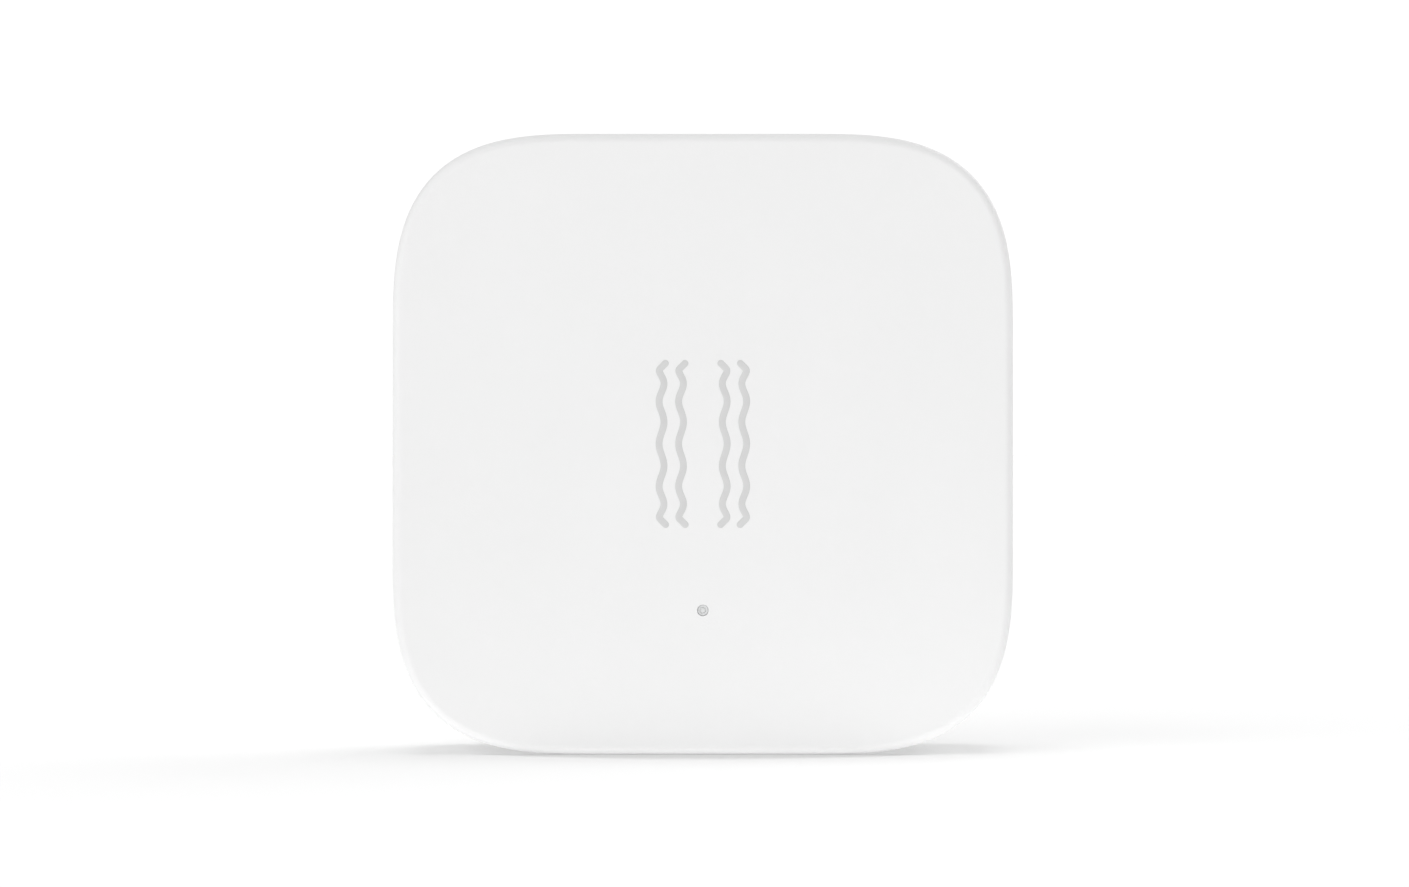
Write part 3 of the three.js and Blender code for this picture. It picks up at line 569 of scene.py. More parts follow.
def sector(name, inner, outer, angle, half_angle, y0, y1, steps=12):
    """Part of a square-section ring about the case's middle, centred on an angle in degrees."""
    t = np.radians(np.linspace(angle - half_angle, angle + half_angle, steps + 1))[:, None]
    radius = np.array([inner, outer, outer, inner])
    y = np.array([y0, y0, y1, y1])
    grid = np.stack([radius * np.cos(t), y + 0 * t, MIDDLE_Z + radius * np.sin(t)], -1)
    return grid_piece(name, grid)


def pill_outline(length, height, steps=32):
    """A stadium as two half circles: (points, 2) arrays for each of the given lengths and heights.

    Half circles of radius height / 2 sit (length - height) / 2 to the right and left of the middle.
    """
    length, height = np.broadcast_arrays(np.asarray(length, float), np.asarray(height, float))
    quarter = np.pi / 2
    t = np.concatenate([np.linspace(-quarter, quarter, steps), np.linspace(quarter, 3 * quarter, steps)])
    side = np.repeat([1.0, -1.0], steps)
    radius = height[..., None] / 2
    u = (length[..., None] / 2 - radius) * side + radius * np.cos(t)
    return np.stack([u, radius * np.sin(t)], -1)


def pill_along_z(name, rows, y):
    """A capsule-shaped piece along Z from (length, height, z) rows, with its middle at y."""
    length, height, z = np.asarray(rows, float).T
    flat = pill_outline(length, height)
    grid = np.stack([flat[..., 0], y + flat[..., 1], z[:, None] + 0 * flat[..., 0]], -1)
    return grid_piece(name, grid)


def pill_along_y(name, rows):
    """The same along Y from (length, height, y) rows, about the case's middle."""
    length, height, y = np.asarray(rows, float).T
    flat = pill_outline(length, height)
    grid = np.stack([flat[..., 0], y[:, None] + 0 * flat[..., 0], MIDDLE_Z + flat[..., 1]], -1)
    return grid_piece(name, grid)


# %% [markdown]
# ## Front cover
# The shell is one closed surface that turns back on itself: from the light's pin-hole over the face, round
# the front edge, down the side, round the rim, up the inside, and down the sleeve of the light guide to the
# pin-hole again. Seen as a grid, its rings are rounded squares outside and circles about the light inside.
# The button's opening and the hook pockets are then cut, and the screw bosses and pins are joined on.

# %% Shell of the front cover
WALL = 1.5 * MM
FACE_THICKNESS = 1.4 * MM
EDGE = 0.6 * MM
LEAD = 0.06 * MM
FACE_INNER_Y = FACE_Y + FACE_THICKNESS
LIGHT_HOLE = 0.37 * MM
LIGHT_SEAT = 0.85 * MM
LIGHT_SLEEVE = 1.4 * MM
SLEEVE_Y = FACE_Y + 2.3 * MM
SEAT_Y = FACE_Y + 1.2 * MM
rim_round = 0.15 * MM
hole_round = 0.02 * MM
inner_round = 0.4 * MM
outside = np.vstack([
    bend((EDGE, FACE_Y), (0, FACE_Y + EDGE), along=0, steps=16, lead=LEAD),
    bend((0, RIM_Y - rim_round), (rim_round, RIM_Y), along=1, steps=6, lead=LEAD),
    bend((WALL - rim_round, RIM_Y), (WALL, RIM_Y - rim_round), along=0, steps=4),
    bend((WALL, FACE_INNER_Y + inner_round), (WALL + inner_round, FACE_INNER_Y), along=1, lead=LEAD),
])
sleeve = np.vstack([
    [(LIGHT_SLEEVE, FACE_INNER_Y), (LIGHT_SLEEVE, SLEEVE_Y), (LIGHT_SEAT, SLEEVE_Y), (LIGHT_SEAT, SEAT_Y)],
    [(LIGHT_HOLE, SEAT_Y)],
    bend((LIGHT_HOLE, FACE_Y + hole_round), (LIGHT_HOLE + hole_round, FACE_Y), along=1, steps=5),
    [(LIGHT_HOLE + 2 * hole_round, FACE_Y)],
])
shell_grid = np.concatenate([square_rings(outside), round_rings(sleeve, LIGHT_Z)])
case_shell = grid_piece("case_shell", shell_grid, loops=True)
print("shell rings and points:", shell_grid.shape[:2])

# %% Openings, bosses and pins of the front cover
SLIP = 0.1 * MM
OPENING_ROUND = 0.15 * MM
INSIDE = HALF - WALL
CASE_TOP_Z = MIDDLE_Z + HALF
BUTTON_LENGTH = 5.0 * MM
BUTTON_HEIGHT = 1.9 * MM
FIXING = 13.6 * MM
BOARD_Y = -2.5 * MM
mouth = np.vstack([
    [(0, MIDDLE_Z + INSIDE - 0.2 * MM), (0, CASE_TOP_Z - OPENING_ROUND)],
    bend((0, CASE_TOP_Z - OPENING_ROUND), (OPENING_ROUND, CASE_TOP_Z), along=1, steps=6)[1:],
    [(OPENING_ROUND, CASE_TOP_Z + 0.2 * MM)],
])
opening_rows = np.column_stack([
    BUTTON_LENGTH + 2 * SLIP + 2 * mouth[:, 0],
    BUTTON_HEIGHT + 2 * SLIP + 2 * mouth[:, 0],
    mouth[:, 1],
])
tools = [pill_along_z("button_opening", opening_rows, BUTTON_Y)]
HOOKS = [(0, -8), (0, 8), (1, 0), (2, -8), (2, 8), (3, 0)]
HOOK_HALF = 1.8 * MM
POCKET_HALF = HOOK_HALF + 0.2 * MM
pocket_section = rectangle(0.3 * MM, -0.7 * MM, INSIDE - 0.1 * MM, INSIDE + 0.5 * MM)
for quarter, along in HOOKS:
    left, right = along * MM - POCKET_HALF, along * MM + POCKET_HALF
    tools.append(prism("pocket", pocket_section, left, right, quarter))
SCREWS = [(-FIXING, FIXING), (FIXING, -FIXING)]
PINS = [(FIXING, FIXING), (-FIXING, -FIXING)]
BOSS_RADIUS = 1.6 * MM
HOLE_RADIUS = 0.75 * MM
BOSS_GAP = 0.02 * MM
HOLE_FRONT_Y = FACE_Y + 0.8 * MM
PIN_BACK_Y = -1.2 * MM
bosses = [
    pin("boss", BOSS_RADIUS, FACE_INNER_Y - SLIP, BOARD_Y - BOSS_GAP, x, MIDDLE_Z + z)
    for x, z in SCREWS + PINS
]
bosses += [
    pin("locating_pin", HOLE_RADIUS, BOARD_Y - 0.2 * MM, PIN_BACK_Y, x, MIDDLE_Z + z)
    for x, z in PINS
]
rail_section = rectangle(-1.6 * MM, 0.8 * MM, INSIDE - 1.4 * MM, INSIDE + 0.3 * MM)
for left, right in ((-4.05 * MM, -3.35 * MM), (3.35 * MM, 4.05 * MM)):
    bosses.append(prism("rail", rail_section, left, right))
screw_holes = [
    pin("screw_hole", HOLE_RADIUS, HOLE_FRONT_Y, BOARD_Y + SLIP, x, MIDDLE_Z + z)
    for x, z in SCREWS
]
carve(case_shell, bosses, "UNION")
carve(case_shell, tools + screw_holes, "DIFFERENCE")
finish_piece(case_shell, "housing", "case_plastic", ["front_cover"])

# %% [markdown]
# ## Light guide
# A clear moulded pin carries the light of a small lamp on the board to the face. Its tip is a little
# narrower than its hole and just below the face, so it shows as a pale dot inside a darker ring. The tip is
# domed, and a step below it fills most of the hole, as it would if the pin were moulded to its sleeve.

# %% Make the clear plastic
make_finish(
    "clear_plastic", moulded, {"Grain": 3000, "Drift": 1500}, (0.8, 0.81, 0.81), (0.86, 0.87, 0.87),
    (0.1, 0.2), 2 * micron, Transmission_Weight=0.15, IOR=1.49
)

# %% Turn the light guide
TIP_RADIUS = 0.2 * MM
TIP_Y = light_low.y
SHOULDER_RADIUS = LIGHT_HOLE - 0.02 * MM
SHOULDER_Y = FACE_Y + 0.08 * MM
FLANGE_BACK_Y = SEAT_Y + 0.8 * MM
STEM_RADIUS = 0.5 * MM
light_flange = (light_high.x - light_low.x) / 2
guide_profile = np.vstack([
    bend((0, TIP_Y), (TIP_RADIUS, TIP_Y + 0.1 * MM), along=0, steps=10),
    [(TIP_RADIUS, SHOULDER_Y)],
    [(SHOULDER_RADIUS, SHOULDER_Y + 0.02 * MM), (SHOULDER_RADIUS, SEAT_Y + SLIP)],
    [(light_flange, SEAT_Y + SLIP), (light_flange, FLANGE_BACK_Y)],
    [(STEM_RADIUS, FLANGE_BACK_Y), (STEM_RADIUS, light_high.y), (0, light_high.y)],
])
light_pin = turned("light_pin", guide_profile, z=LIGHT_Z, sides=64)
finish_piece(light_pin, "housing", "clear_plastic", ["light_guide"])

# %% [markdown]
# ## Button
# The button is a capsule that sits 0.1 mm below the top of the case. Its top is dished for a fingertip, and
# its edge is rounded. Under the wall it widens to a flange that keeps it from falling out, and a nub below
# that presses the switch. It rides on its own body, so it sinks when the joint moves.

# %% Make the button
flange_length = button_high.x - button_low.x
flange_height = button_high.y - button_low.y
flange_top = MIDDLE_Z + INSIDE - 0.05 * MM
flange_bottom = flange_top - 0.6 * MM
crown_round = 0.22 * MM
dish = 0.12 * MM
cap_top = button_high.z
inset = np.linspace(0, 1, 9)[::-1, None] * (BUTTON_HEIGHT / 2 - crown_round) + crown_round
dish_z = cap_top - dish * ((inset - crown_round) / (BUTTON_HEIGHT / 2 - crown_round)) ** 0.7
crown = bend((crown_round, cap_top), (0, cap_top - crown_round), along=0, steps=8)[1:]
cap_profile = np.vstack([np.hstack([inset, dish_z]), crown, [(0, flange_top)]])
cap_rows = np.column_stack([
    BUTTON_LENGTH - 2 * cap_profile[:, 0],
    BUTTON_HEIGHT - 2 * cap_profile[:, 0],
    cap_profile[:, 1],
])
flange_rows = [(flange_length, flange_height, flange_top), (flange_length, flange_height, flange_bottom)]
button_cap = pill_along_z("button_cap", np.vstack([cap_rows, flange_rows]), BUTTON_Y)
NUB_DEPTH = 0.8 * MM
NUB_LENGTH = 1.4 * MM
nub_z = (button_low.z - MIDDLE_Z, flange_bottom - MIDDLE_Z + SLIP)
nub_section = rectangle(BUTTON_Y - NUB_DEPTH / 2, BUTTON_Y + NUB_DEPTH / 2, *nub_z)
carve(button_cap, [prism("nub", nub_section, -NUB_LENGTH / 2, NUB_LENGTH / 2)], "UNION")
finish_piece(button_cap, "button", "button_plastic", ["reset_button"])

# %% [markdown]
# ## Back cover
# The back cover is another closed ring of rings. Outside it is the rounded square again, a little smaller
# than the front so that the seam shows as a fine step. Inside it is round, with a shallow recess for the
# battery door's rim and a shelf that the door's lugs lock behind. Hooks, stops and notches are joined and
# cut after.

# %% Shell of the back cover
SEAM_Y = RIM_Y + 0.1 * MM
SIDE_INSET = 0.35 * MM
BACK_ROUND = 1.25 * MM
LIP_INSET = WALL + SLIP
LIP_THICKNESS = 0.7 * MM
RECESS_RADIUS = DOOR_RADIUS + 0.15 * MM
SHELF_RADIUS = 11.35 * MM
SHELF_BACK_Y = BACK_Y - 0.85 * MM
SHELF_FRONT_Y = 3.45 * MM
recess_round = 0.12 * MM
back_outside = np.vstack([
    [(LIP_INSET + LIP_THICKNESS, SEAM_Y), (LIP_INSET + LIP_THICKNESS, SEAM_Y - 1 * MM)],
    [(LIP_INSET, SEAM_Y - 1 * MM), (LIP_INSET, SEAM_Y)],
    bend((SIDE_INSET + 0.1 * MM, SEAM_Y), (SIDE_INSET, SEAM_Y + 0.1 * MM), along=0, steps=4),
    bend((SIDE_INSET, SEAM_Y + 0.4 * MM), (SIDE_INSET + BACK_ROUND, BACK_Y), along=1, steps=16, lead=LEAD),
])
door_opening = np.vstack([
    bend((RECESS_RADIUS + recess_round, BACK_Y), (RECESS_RADIUS, BACK_Y - recess_round), 0, 6, LEAD),
    [(RECESS_RADIUS, SHELF_BACK_Y), (SHELF_RADIUS, SHELF_BACK_Y), (SHELF_RADIUS, SHELF_FRONT_Y)],
    [(RECESS_RADIUS, SHELF_FRONT_Y), (RECESS_RADIUS, SEAM_Y)],
])
back_grid = np.concatenate([square_rings(back_outside), round_rings(door_opening)])
back_shell = grid_piece("back_shell", back_grid, loops=True)
print("back cover rings and points:", back_grid.shape[:2])

# %% Hooks, stops, notches and turn marks of the back cover
LOCKED = [90, 210, 330]
DOOR_TURN = 35
LUG_RADIUS = 12.2 * MM
LUG_FRONT_Y = 2.75 * MM
hook_outer = INSIDE / MM - 0.1
hook_section = np.array([
    (3.4, hook_outer - 0.7),
    (3.4, hook_outer),
    (0.15, hook_outer),
    (0.15, hook_outer + 0.4),
    (-0.5, hook_outer),
    (-0.5, hook_outer - 0.7),
]) * MM
additions = [
    prism("hook", hook_section, along * MM - HOOK_HALF, along * MM + HOOK_HALF, quarter)
    for quarter, along in HOOKS
]
stop_angles = [angle + offset for angle in LOCKED for offset in (14, -DOOR_TURN - 16)]
for angle in stop_angles:
    inner, outer = SHELF_RADIUS + 0.15 * MM, LUG_RADIUS + 0.2 * MM
    additions.append(sector("stop", inner, outer, angle, 3, LUG_FRONT_Y + SLIP, SHELF_FRONT_Y + SLIP))
cuts = [
    sector("notch", 10.85 * MM, 12.35 * MM, angle - DOOR_TURN, 12, 2.2 * MM, SHELF_BACK_Y + SLIP)
    for angle in LOCKED
]
POINTER_ANGLE = 90
MARK_CIRCLE = 12.98 * MM
MARK_DEPTH = 0.15 * MM


def mark_place(angle, radius):
    """The x and z of a place at an angle, in degrees, on a circle about the case's middle."""
    turn = math.radians(angle)
    return radius * math.cos(turn), MIDDLE_Z + radius * math.sin(turn)


mark_y = (BACK_Y - MARK_DEPTH, BACK_Y + 0.1 * MM)
cuts.append(pin("locked_mark", 0.26 * MM, *mark_y, *mark_place(POINTER_ANGLE, MARK_CIRCLE), 24))
ring_x, ring_z = mark_place(POINTER_ANGLE - DOOR_TURN, MARK_CIRCLE)
ring_section = [(0.14 * MM, y) for y in mark_y] + [(0.27 * MM, y) for y in mark_y[::-1]]
cuts.append(turned("open_mark", ring_section, ring_x, ring_z, 24, closed=True))
carve(back_shell, additions, "UNION")
carve(back_shell, cuts, "DIFFERENCE")
finish_piece(back_shell, "housing", "back_plastic", ["back_cover"])

# %% [markdown]
# ## Battery door
# The door is a turned cap with a coin slot, three bayonet lugs on its skirt and a rib that bears on the
# cell. A short groove near its rim points at the two marks on the back cover: the dot when it is locked,
# and the ring once it has turned. It rides on its own body, so all of this turns together.

# %% Make the battery door
door_edge = 0.2 * MM
SKIRT = 11.2 * MM
SKIRT_INNER = SKIRT - 0.8 * MM
RIB = (5.2 * MM, 6.2 * MM)
RIM_FRONT_Y = BACK_Y - 0.8 * MM
PLATE_FRONT_Y = BACK_Y - 1.2 * MM
CELL_BACK_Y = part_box("cell_can")[1].y
door_profile = np.vstack([
    [(0, BACK_Y)],
    bend((DOOR_RADIUS - door_edge, BACK_Y), (DOOR_RADIUS, BACK_Y - door_edge), along=0, steps=8, lead=LEAD),
    [(DOOR_RADIUS, RIM_FRONT_Y), (SKIRT, RIM_FRONT_Y), (SKIRT, LUG_FRONT_Y)],
    [(SKIRT_INNER, LUG_FRONT_Y), (SKIRT_INNER, PLATE_FRONT_Y), (RIB[1], PLATE_FRONT_Y)],
    [(RIB[1], CELL_BACK_Y + SLIP), (RIB[0], CELL_BACK_Y + SLIP)],
    [(RIB[0], PLATE_FRONT_Y), (0, PLATE_FRONT_Y)],
])
door_cap = turned("door_cap", door_profile, sides=240)
lugs = [
    sector("lug", SKIRT - 0.3 * MM, LUG_RADIUS, angle, 10, LUG_FRONT_Y, SHELF_FRONT_Y - 0.05 * MM)
    for angle in LOCKED
]
SLOT_LENGTH = 14 * MM
SLOT_WIDTH = 1.9 * MM
SLOT_DEPTH = 0.7 * MM
slot_round = 0.16 * MM
slot_side = np.vstack([
    bend((-0.25 * MM, BACK_Y - SLOT_DEPTH), (0, BACK_Y - SLOT_DEPTH + 0.25 * MM), along=0, steps=6),
    bend((0, BACK_Y - slot_round), (slot_round, BACK_Y), along=1, steps=6),
    [(slot_round, BACK_Y + 0.2 * MM)],
])
slot_rows = np.column_stack([
    SLOT_LENGTH + 2 * slot_side[:, 0],
    SLOT_WIDTH + 2 * slot_side[:, 0],
    slot_side[:, 1],
])
pointer_y = (BACK_Y - MARK_DEPTH, BACK_Y + 0.1 * MM)
pointer = sector("pointer", 10.7 * MM, 12.0 * MM, POINTER_ANGLE, 1.1, *pointer_y)
carve(door_cap, lugs, "UNION")
carve(door_cap, [pill_along_y("coin_slot", slot_rows), pointer], "DIFFERENCE")
finish_piece(door_cap, "door", "back_plastic", ["battery_door"])

# %% [markdown]
# ## Foam pad
# The pad is a ring of sticky acrylic foam, cut from a sheet. A knife presses foam down as it cuts, so the
# edges of its sticky face are drawn in a little and its cut side bulges. It lies flat on the back cover.

# %% Make the foam finish
foam, values, place, result = texture_group("foam_cells", {"Cells": 6000, "Drift": 300})
cells = add_node(foam, "ShaderNodeTexVoronoi", {"Vector": place, "Scale": values["Cells"]})
blotch = add_node(foam, "ShaderNodeTexNoise", {"Vector": place, "Scale": values["Drift"], "Detail": 3})
way = foam.nodes.new("ShaderNodeTexCoord")
facing = add_node(foam, "ShaderNodeSeparateXYZ", {0: way.outputs["Normal"]})
cut_side = {"Value": facing.outputs["Y"], "From Min": 0.75, "From Max": 0.97, "To Min": 1.0, "To Max": 0.0}
rough_side = add_node(foam, "ShaderNodeMapRange", cut_side)
skin = {0: rough_side.outputs["Result"], 1: 0.85, 2: 0.15}
opened = add_node(foam, "ShaderNodeMath", skin, operation="MULTIPLY_ADD")
pits = {0: cells.outputs["Distance"], 1: opened.outputs[0]}
depth_mask = add_node(foam, "ShaderNodeMath", pits, operation="MULTIPLY")
foam.links.new(blotch.outputs["Fac"], result["Tone"])
foam.links.new(rough_side.outputs["Result"], result["Gloss"])
foam.links.new(depth_mask.outputs[0], result["Height"])
make_finish("foam_tape", foam, {}, (0.5, 0.51, 0.52), (0.58, 0.59, 0.6), (0.32, 0.85), 30 * micron)

# %% Make the foam pad
PAD_INSET = HALF - (pad_high.x - pad_low.x) / 2
PAD_HOLE = 13.4 * MM
PAD_FRONT_Y = pad_low.y
PAD_BACK_Y = pad_high.y
cut_round = 0.22 * MM
waist = 0.04 * MM
side = np.linspace(0, 1, 9)[1:-1]
side_y = PAD_FRONT_Y + side * (PAD_BACK_Y - cut_round - PAD_FRONT_Y)
side_in = waist * np.sin(np.pi * side)
outer_side = np.column_stack([PAD_INSET + waist - side_in, side_y])
inner_side = np.column_stack([PAD_HOLE + waist - side_in, side_y])[::-1]
edge_inset, hole_radius = PAD_INSET + waist, PAD_HOLE + waist
round_y = PAD_BACK_Y - cut_round
pad_outside = np.vstack([
    [(edge_inset + LEAD, PAD_FRONT_Y), (edge_inset, PAD_FRONT_Y)],
    outer_side,
    bend((edge_inset, round_y), (edge_inset + cut_round, PAD_BACK_Y), 1, 8, LEAD)[1:],
])
pad_hole = np.vstack([
    bend((hole_radius + cut_round, PAD_BACK_Y), (hole_radius, round_y), 0, 8, LEAD)[:-1],
    inner_side,
    [(hole_radius, PAD_FRONT_Y), (hole_radius + LEAD, PAD_FRONT_Y)],
])
pad_grid = np.concatenate([square_rings(pad_outside), round_rings(pad_hole)])
foam_ring = grid_piece("foam_ring", pad_grid, loops=True)
finish_piece(foam_ring, "housing", "foam_tape", ["adhesive_pad"])

# %% [markdown]
# ## Printed waves
# Four wavy strokes say what the sensor feels. They are pad-printed ink a few hundredths of a millimetre
# thick, so they're ribbons with rounded ends that stand just proud of the face. The waves get shorter
# towards the ends of a stroke, as if they were drawn round a ball, and each end turns in towards the
# middle.

# %% Mix the ink
ink_finish = make_finish(
    "wave_ink", moulded, {"Grain": 15000, "Drift": 900}, grey(0.6), grey(0.66), (0.45, 0.6), 2 * micron
)

# %% Print the waves
WAVE_BALL = 5.77 * MM
WAVE_ANGLE = 14.5
WAVE_COUNT = 4
WAVE_SWING = 0.162 * MM
STROKE_WIDTH = 0.455 * MM
STROKE_PLACES = (1.441 * MM, 2.727 * MM)
HOOK_LENGTH = 0.6 * MM
INK_HEIGHT = 0.02 * MM
BEND_LENGTH = 0.26 * MM


def wave_path(place, spacing=0.01 * MM):
    """Evenly spaced x and z of a stroke's middle line, as a (points, 2) array about the middle of the face.

    On a ball of radius R the angle t gives z = R sin t, and x = place + swing * cos(pi * t / step). A
    straight hook at 45 degrees is added at each end. A moving average along the path then rounds the two
    corners.
    """
    t = np.linspace(-WAVE_COUNT * WAVE_ANGLE, WAVE_COUNT * WAVE_ANGLE, 2001)
    x = place + WAVE_SWING * np.cos(np.pi * t / WAVE_ANGLE)
    z = WAVE_BALL * np.sin(np.radians(t))
    reach = (HOOK_LENGTH + BEND_LENGTH) * math.sqrt(0.5)
    x = np.concatenate([[x[0] - reach], x, [x[-1] - reach]])
    z = np.concatenate([[z[0] - reach], z, [z[-1] + reach]])
    travel = np.concatenate([[0], np.cumsum(np.hypot(np.diff(x), np.diff(z)))])
    even = np.arange(0, travel[-1], spacing)
    line = np.column_stack([np.interp(even, travel, x), np.interp(even, travel, z)])
    window = int(BEND_LENGTH / spacing)
    kernel = np.full(window, 1 / window)
    smooth = np.column_stack([np.convolve(line[:, axis], kernel, "valid") for axis in (0, 1)])
    trim = int(BEND_LENGTH / 2 / spacing)
    return smooth[trim:-trim:4]


def stroke(name, place, side):
    """A raised ribbon along a wave path, with half-round ends, as rings of points across the path.

    Past the last path point the ring moves on by w sin a and its half width is w cos a, with w half the
    stroke's width and a from 0 to a quarter turn.
    """
    path = wave_path(place) * [side, 1]
    along = np.gradient(path, axis=0)
    along /= np.linalg.norm(along, axis=1, keepdims=True)
    half = STROKE_WIDTH / 2
    a = np.linspace(0, np.pi / 2, 13)[1:, None]
    first = (path[0] - along[0] * half * np.sin(a))[::-1]
    last = path[-1] + along[-1] * half * np.sin(a)
    middle = np.vstack([first, path, last])
    heading = np.vstack([np.tile(along[0], (12, 1)), along, np.tile(along[-1], (12, 1))])
    width = np.concatenate([half * np.cos(a)[::-1], np.full((len(path), 1), half), half * np.cos(a)])
    across = np.array([-1, -1, -0.95, -0.8, 0.8, 0.95, 1, 1])
    above = np.array([-0.5, 0.35, 0.8, 1, 1, 0.8, 0.35, -0.5]) * INK_HEIGHT
    x = middle[:, :1] + heading[:, 1:] * width * across
    z = middle[:, 1:] - heading[:, :1] * width * across + MIDDLE_Z
    return grid_piece(name, np.stack([x, FACE_Y - above + 0 * x, z], -1))


for side_name, side in (("left", -1), ("right", 1)):
    for place_name, place in zip(("inner", "outer"), STROKE_PLACES):
        ink = stroke(f"wave_{side_name}_{place_name}", place, side)
        finish_piece(ink, "housing", "case_plastic", sharp=50, look=ink_finish)

# %% [markdown]
# ## Metals
# The metals inside are brushed steel for the cell, plating on the lids and springs, zinc on the screws, and
# printed copper. Brushing leaves fine parallel scratches. They come from a noise that is stretched a
# hundred times along one direction, and the same scratches vary the shine and the relief.

# %% Make the metals
brushed, values, place, result = texture_group("brushed_metal", {"Lines": 9000, "Drift": 250})
stretch = {0: place, 1: (1.0, 1.0, 0.01)}
drawn_out = add_node(brushed, "ShaderNodeVectorMath", stretch, operation="MULTIPLY").outputs[0]
line_inputs = {"Vector": drawn_out, "Scale": values["Lines"], "Detail": 3}
lines = add_node(brushed, "ShaderNodeTexNoise", line_inputs)
stain = add_node(brushed, "ShaderNodeTexNoise", {"Vector": place, "Scale": values["Drift"], "Detail": 4})
brushed.links.new(stain.outputs["Fac"], result["Tone"])
brushed.links.new(lines.outputs["Fac"], result["Gloss"])
brushed.links.new(lines.outputs["Fac"], result["Height"])
make_finish(
    "cell_steel", brushed, {}, (0.52, 0.52, 0.53), (0.66, 0.66, 0.67), (0.22, 0.42),
    3 * micron, Metallic=1.0
)
make_finish(
    "plated_can", brushed, {"Lines": 12000}, (0.54, 0.52, 0.47), (0.68, 0.66, 0.61), (0.25, 0.4),
    2 * micron, Metallic=1.0
)
make_finish(
    "plated_contact", brushed, {"Lines": 5000, "Drift": 500}, (0.6, 0.58, 0.52), (0.74, 0.72, 0.66),
    (0.12, 0.28), 2 * micron, Metallic=1.0
)
make_finish(
    "screw_steel", brushed, {"Lines": 3000, "Drift": 900}, (0.46, 0.46, 0.48), (0.6, 0.6, 0.61),
    (0.16, 0.34), 3 * micron, Metallic=1.0
)
make_finish(
    "copper", brushed, {"Lines": 6000, "Drift": 1200}, (0.7, 0.36, 0.16), (0.84, 0.48, 0.24), (0.25, 0.45),
    2 * micron, Metallic=1.0, Coat_Weight=0.6, Coat_Roughness=0.2
)

# %% [markdown]
# ## Circuit board
# Solder mask is a clear green lacquer. Where copper runs under it, it looks lighter and stands a little
# higher. A brick pattern gives the right-angled runs of track: the bricks are bare board, and the joints
# between them are tracks. A slow noise leaves tracks out of some areas, and round cells of a second pattern
# are the vias.

# %% Make the solder mask
tracks, values, place, result = texture_group("board_tracks", {"Pitch": 900, "Vias": 420})
tip_over = {"Vector": place, "Rotation": (math.pi / 2, 0, 0)}
laid_flat = add_node(tracks, "ShaderNodeMapping", tip_over).outputs[0]
spin_round = {"Vector": laid_flat, "Rotation": (0, 0, math.pi / 2)}
upright = add_node(tracks, "ShaderNodeMapping", spin_round).outputs[0]
track_inputs = {"Scale": values["Pitch"], "Mortar Size": 0.06, "Mortar Smooth": 0.1, "Brick Width": 7.0}
track_inputs |= {"Row Height": 0.55}
runs = [
    add_node(tracks, "ShaderNodeTexBrick", track_inputs | {"Vector": direction}, offset=0.37)
    for direction in (laid_flat, upright)
]
quarter_of_board = add_node(tracks, "ShaderNodeTexNoise", {"Vector": place, "Scale": 90, "Detail": 0})
turn_limits = {"Value": quarter_of_board.outputs["Fac"], "From Min": 0.5, "From Max": 0.501}
turned_run = add_node(tracks, "ShaderNodeMapRange", turn_limits)
choice = {0: turned_run.outputs["Result"], 2: runs[0].outputs["Fac"], 3: runs[1].outputs["Fac"]}
one_way = add_node(tracks, "ShaderNodeMix", choice)
region = add_node(tracks, "ShaderNodeTexNoise", {"Vector": place, "Scale": 140, "Detail": 1})
routed_limits = {"Value": region.outputs["Fac"], "From Min": 0.47, "From Max": 0.49}
routed = add_node(tracks, "ShaderNodeMapRange", routed_limits)
kept = {0: one_way.outputs[0], 1: routed.outputs["Result"]}
track_mask = add_node(tracks, "ShaderNodeMath", kept, operation="MULTIPLY")
holes = add_node(tracks, "ShaderNodeTexVoronoi", {"Vector": laid_flat, "Scale": values["Vias"]})
near = {"Value": holes.outputs["Distance"], "From Min": 0.13, "From Max": 0.1}
via_mask = add_node(tracks, "ShaderNodeMapRange", near)
either = {0: track_mask.outputs[0], 1: via_mask.outputs["Result"]}
copper_mask = add_node(tracks, "ShaderNodeMath", either, operation="MAXIMUM")
haze = add_node(tracks, "ShaderNodeTexNoise", {"Vector": place, "Scale": 900, "Detail": 3})
tracks.links.new(copper_mask.outputs[0], result["Tone"])
tracks.links.new(haze.outputs["Fac"], result["Gloss"])
tracks.links.new(copper_mask.outputs[0], result["Height"])
make_finish(
    "solder_mask", tracks, {}, (0.006, 0.07, 0.03), (0.03, 0.17, 0.07), (0.18, 0.3),
    20 * micron, Coat_Weight=0.3
)

# %% [markdown]
# ## Ceramic, resin, rubber and powder
# The rest of the inner pieces are plain stuffs, so they use the moulded grain with their own sizes and
# colours.

# %% Make the small finishes
make_finish(
    "ceramic", moulded, {"Grain": 16000, "Drift": 2500}, (0.4, 0.26, 0.15), (0.52, 0.37, 0.23),
    (0.35, 0.55), 4 * micron
)
make_finish(
    "led_resin", moulded, {"Grain": 6000, "Drift": 2500}, (0.8, 0.74, 0.5), (0.88, 0.84, 0.66), (0.1, 0.22),
    2 * micron, Transmission_Weight=0.2, IOR=1.5
)
make_finish(
    "gasket_rubber", moulded, {"Grain": 8000, "Drift": 900}, grey(0.022), grey(0.04), (0.55, 0.75),
    6 * micron
)
make_finish(
    "electrode_pack", moulded, {"Grain": 5000, "Drift": 600}, grey(0.06), grey(0.12), (0.7, 0.9),
    14 * micron
)
print("finishes:", sorted(finishes))

# %% [markdown]
# Every node of the loaded model now gets the finish of its slot in the record. The nodes that a finer piece
# replaces are hidden, and the others are seen as they are.

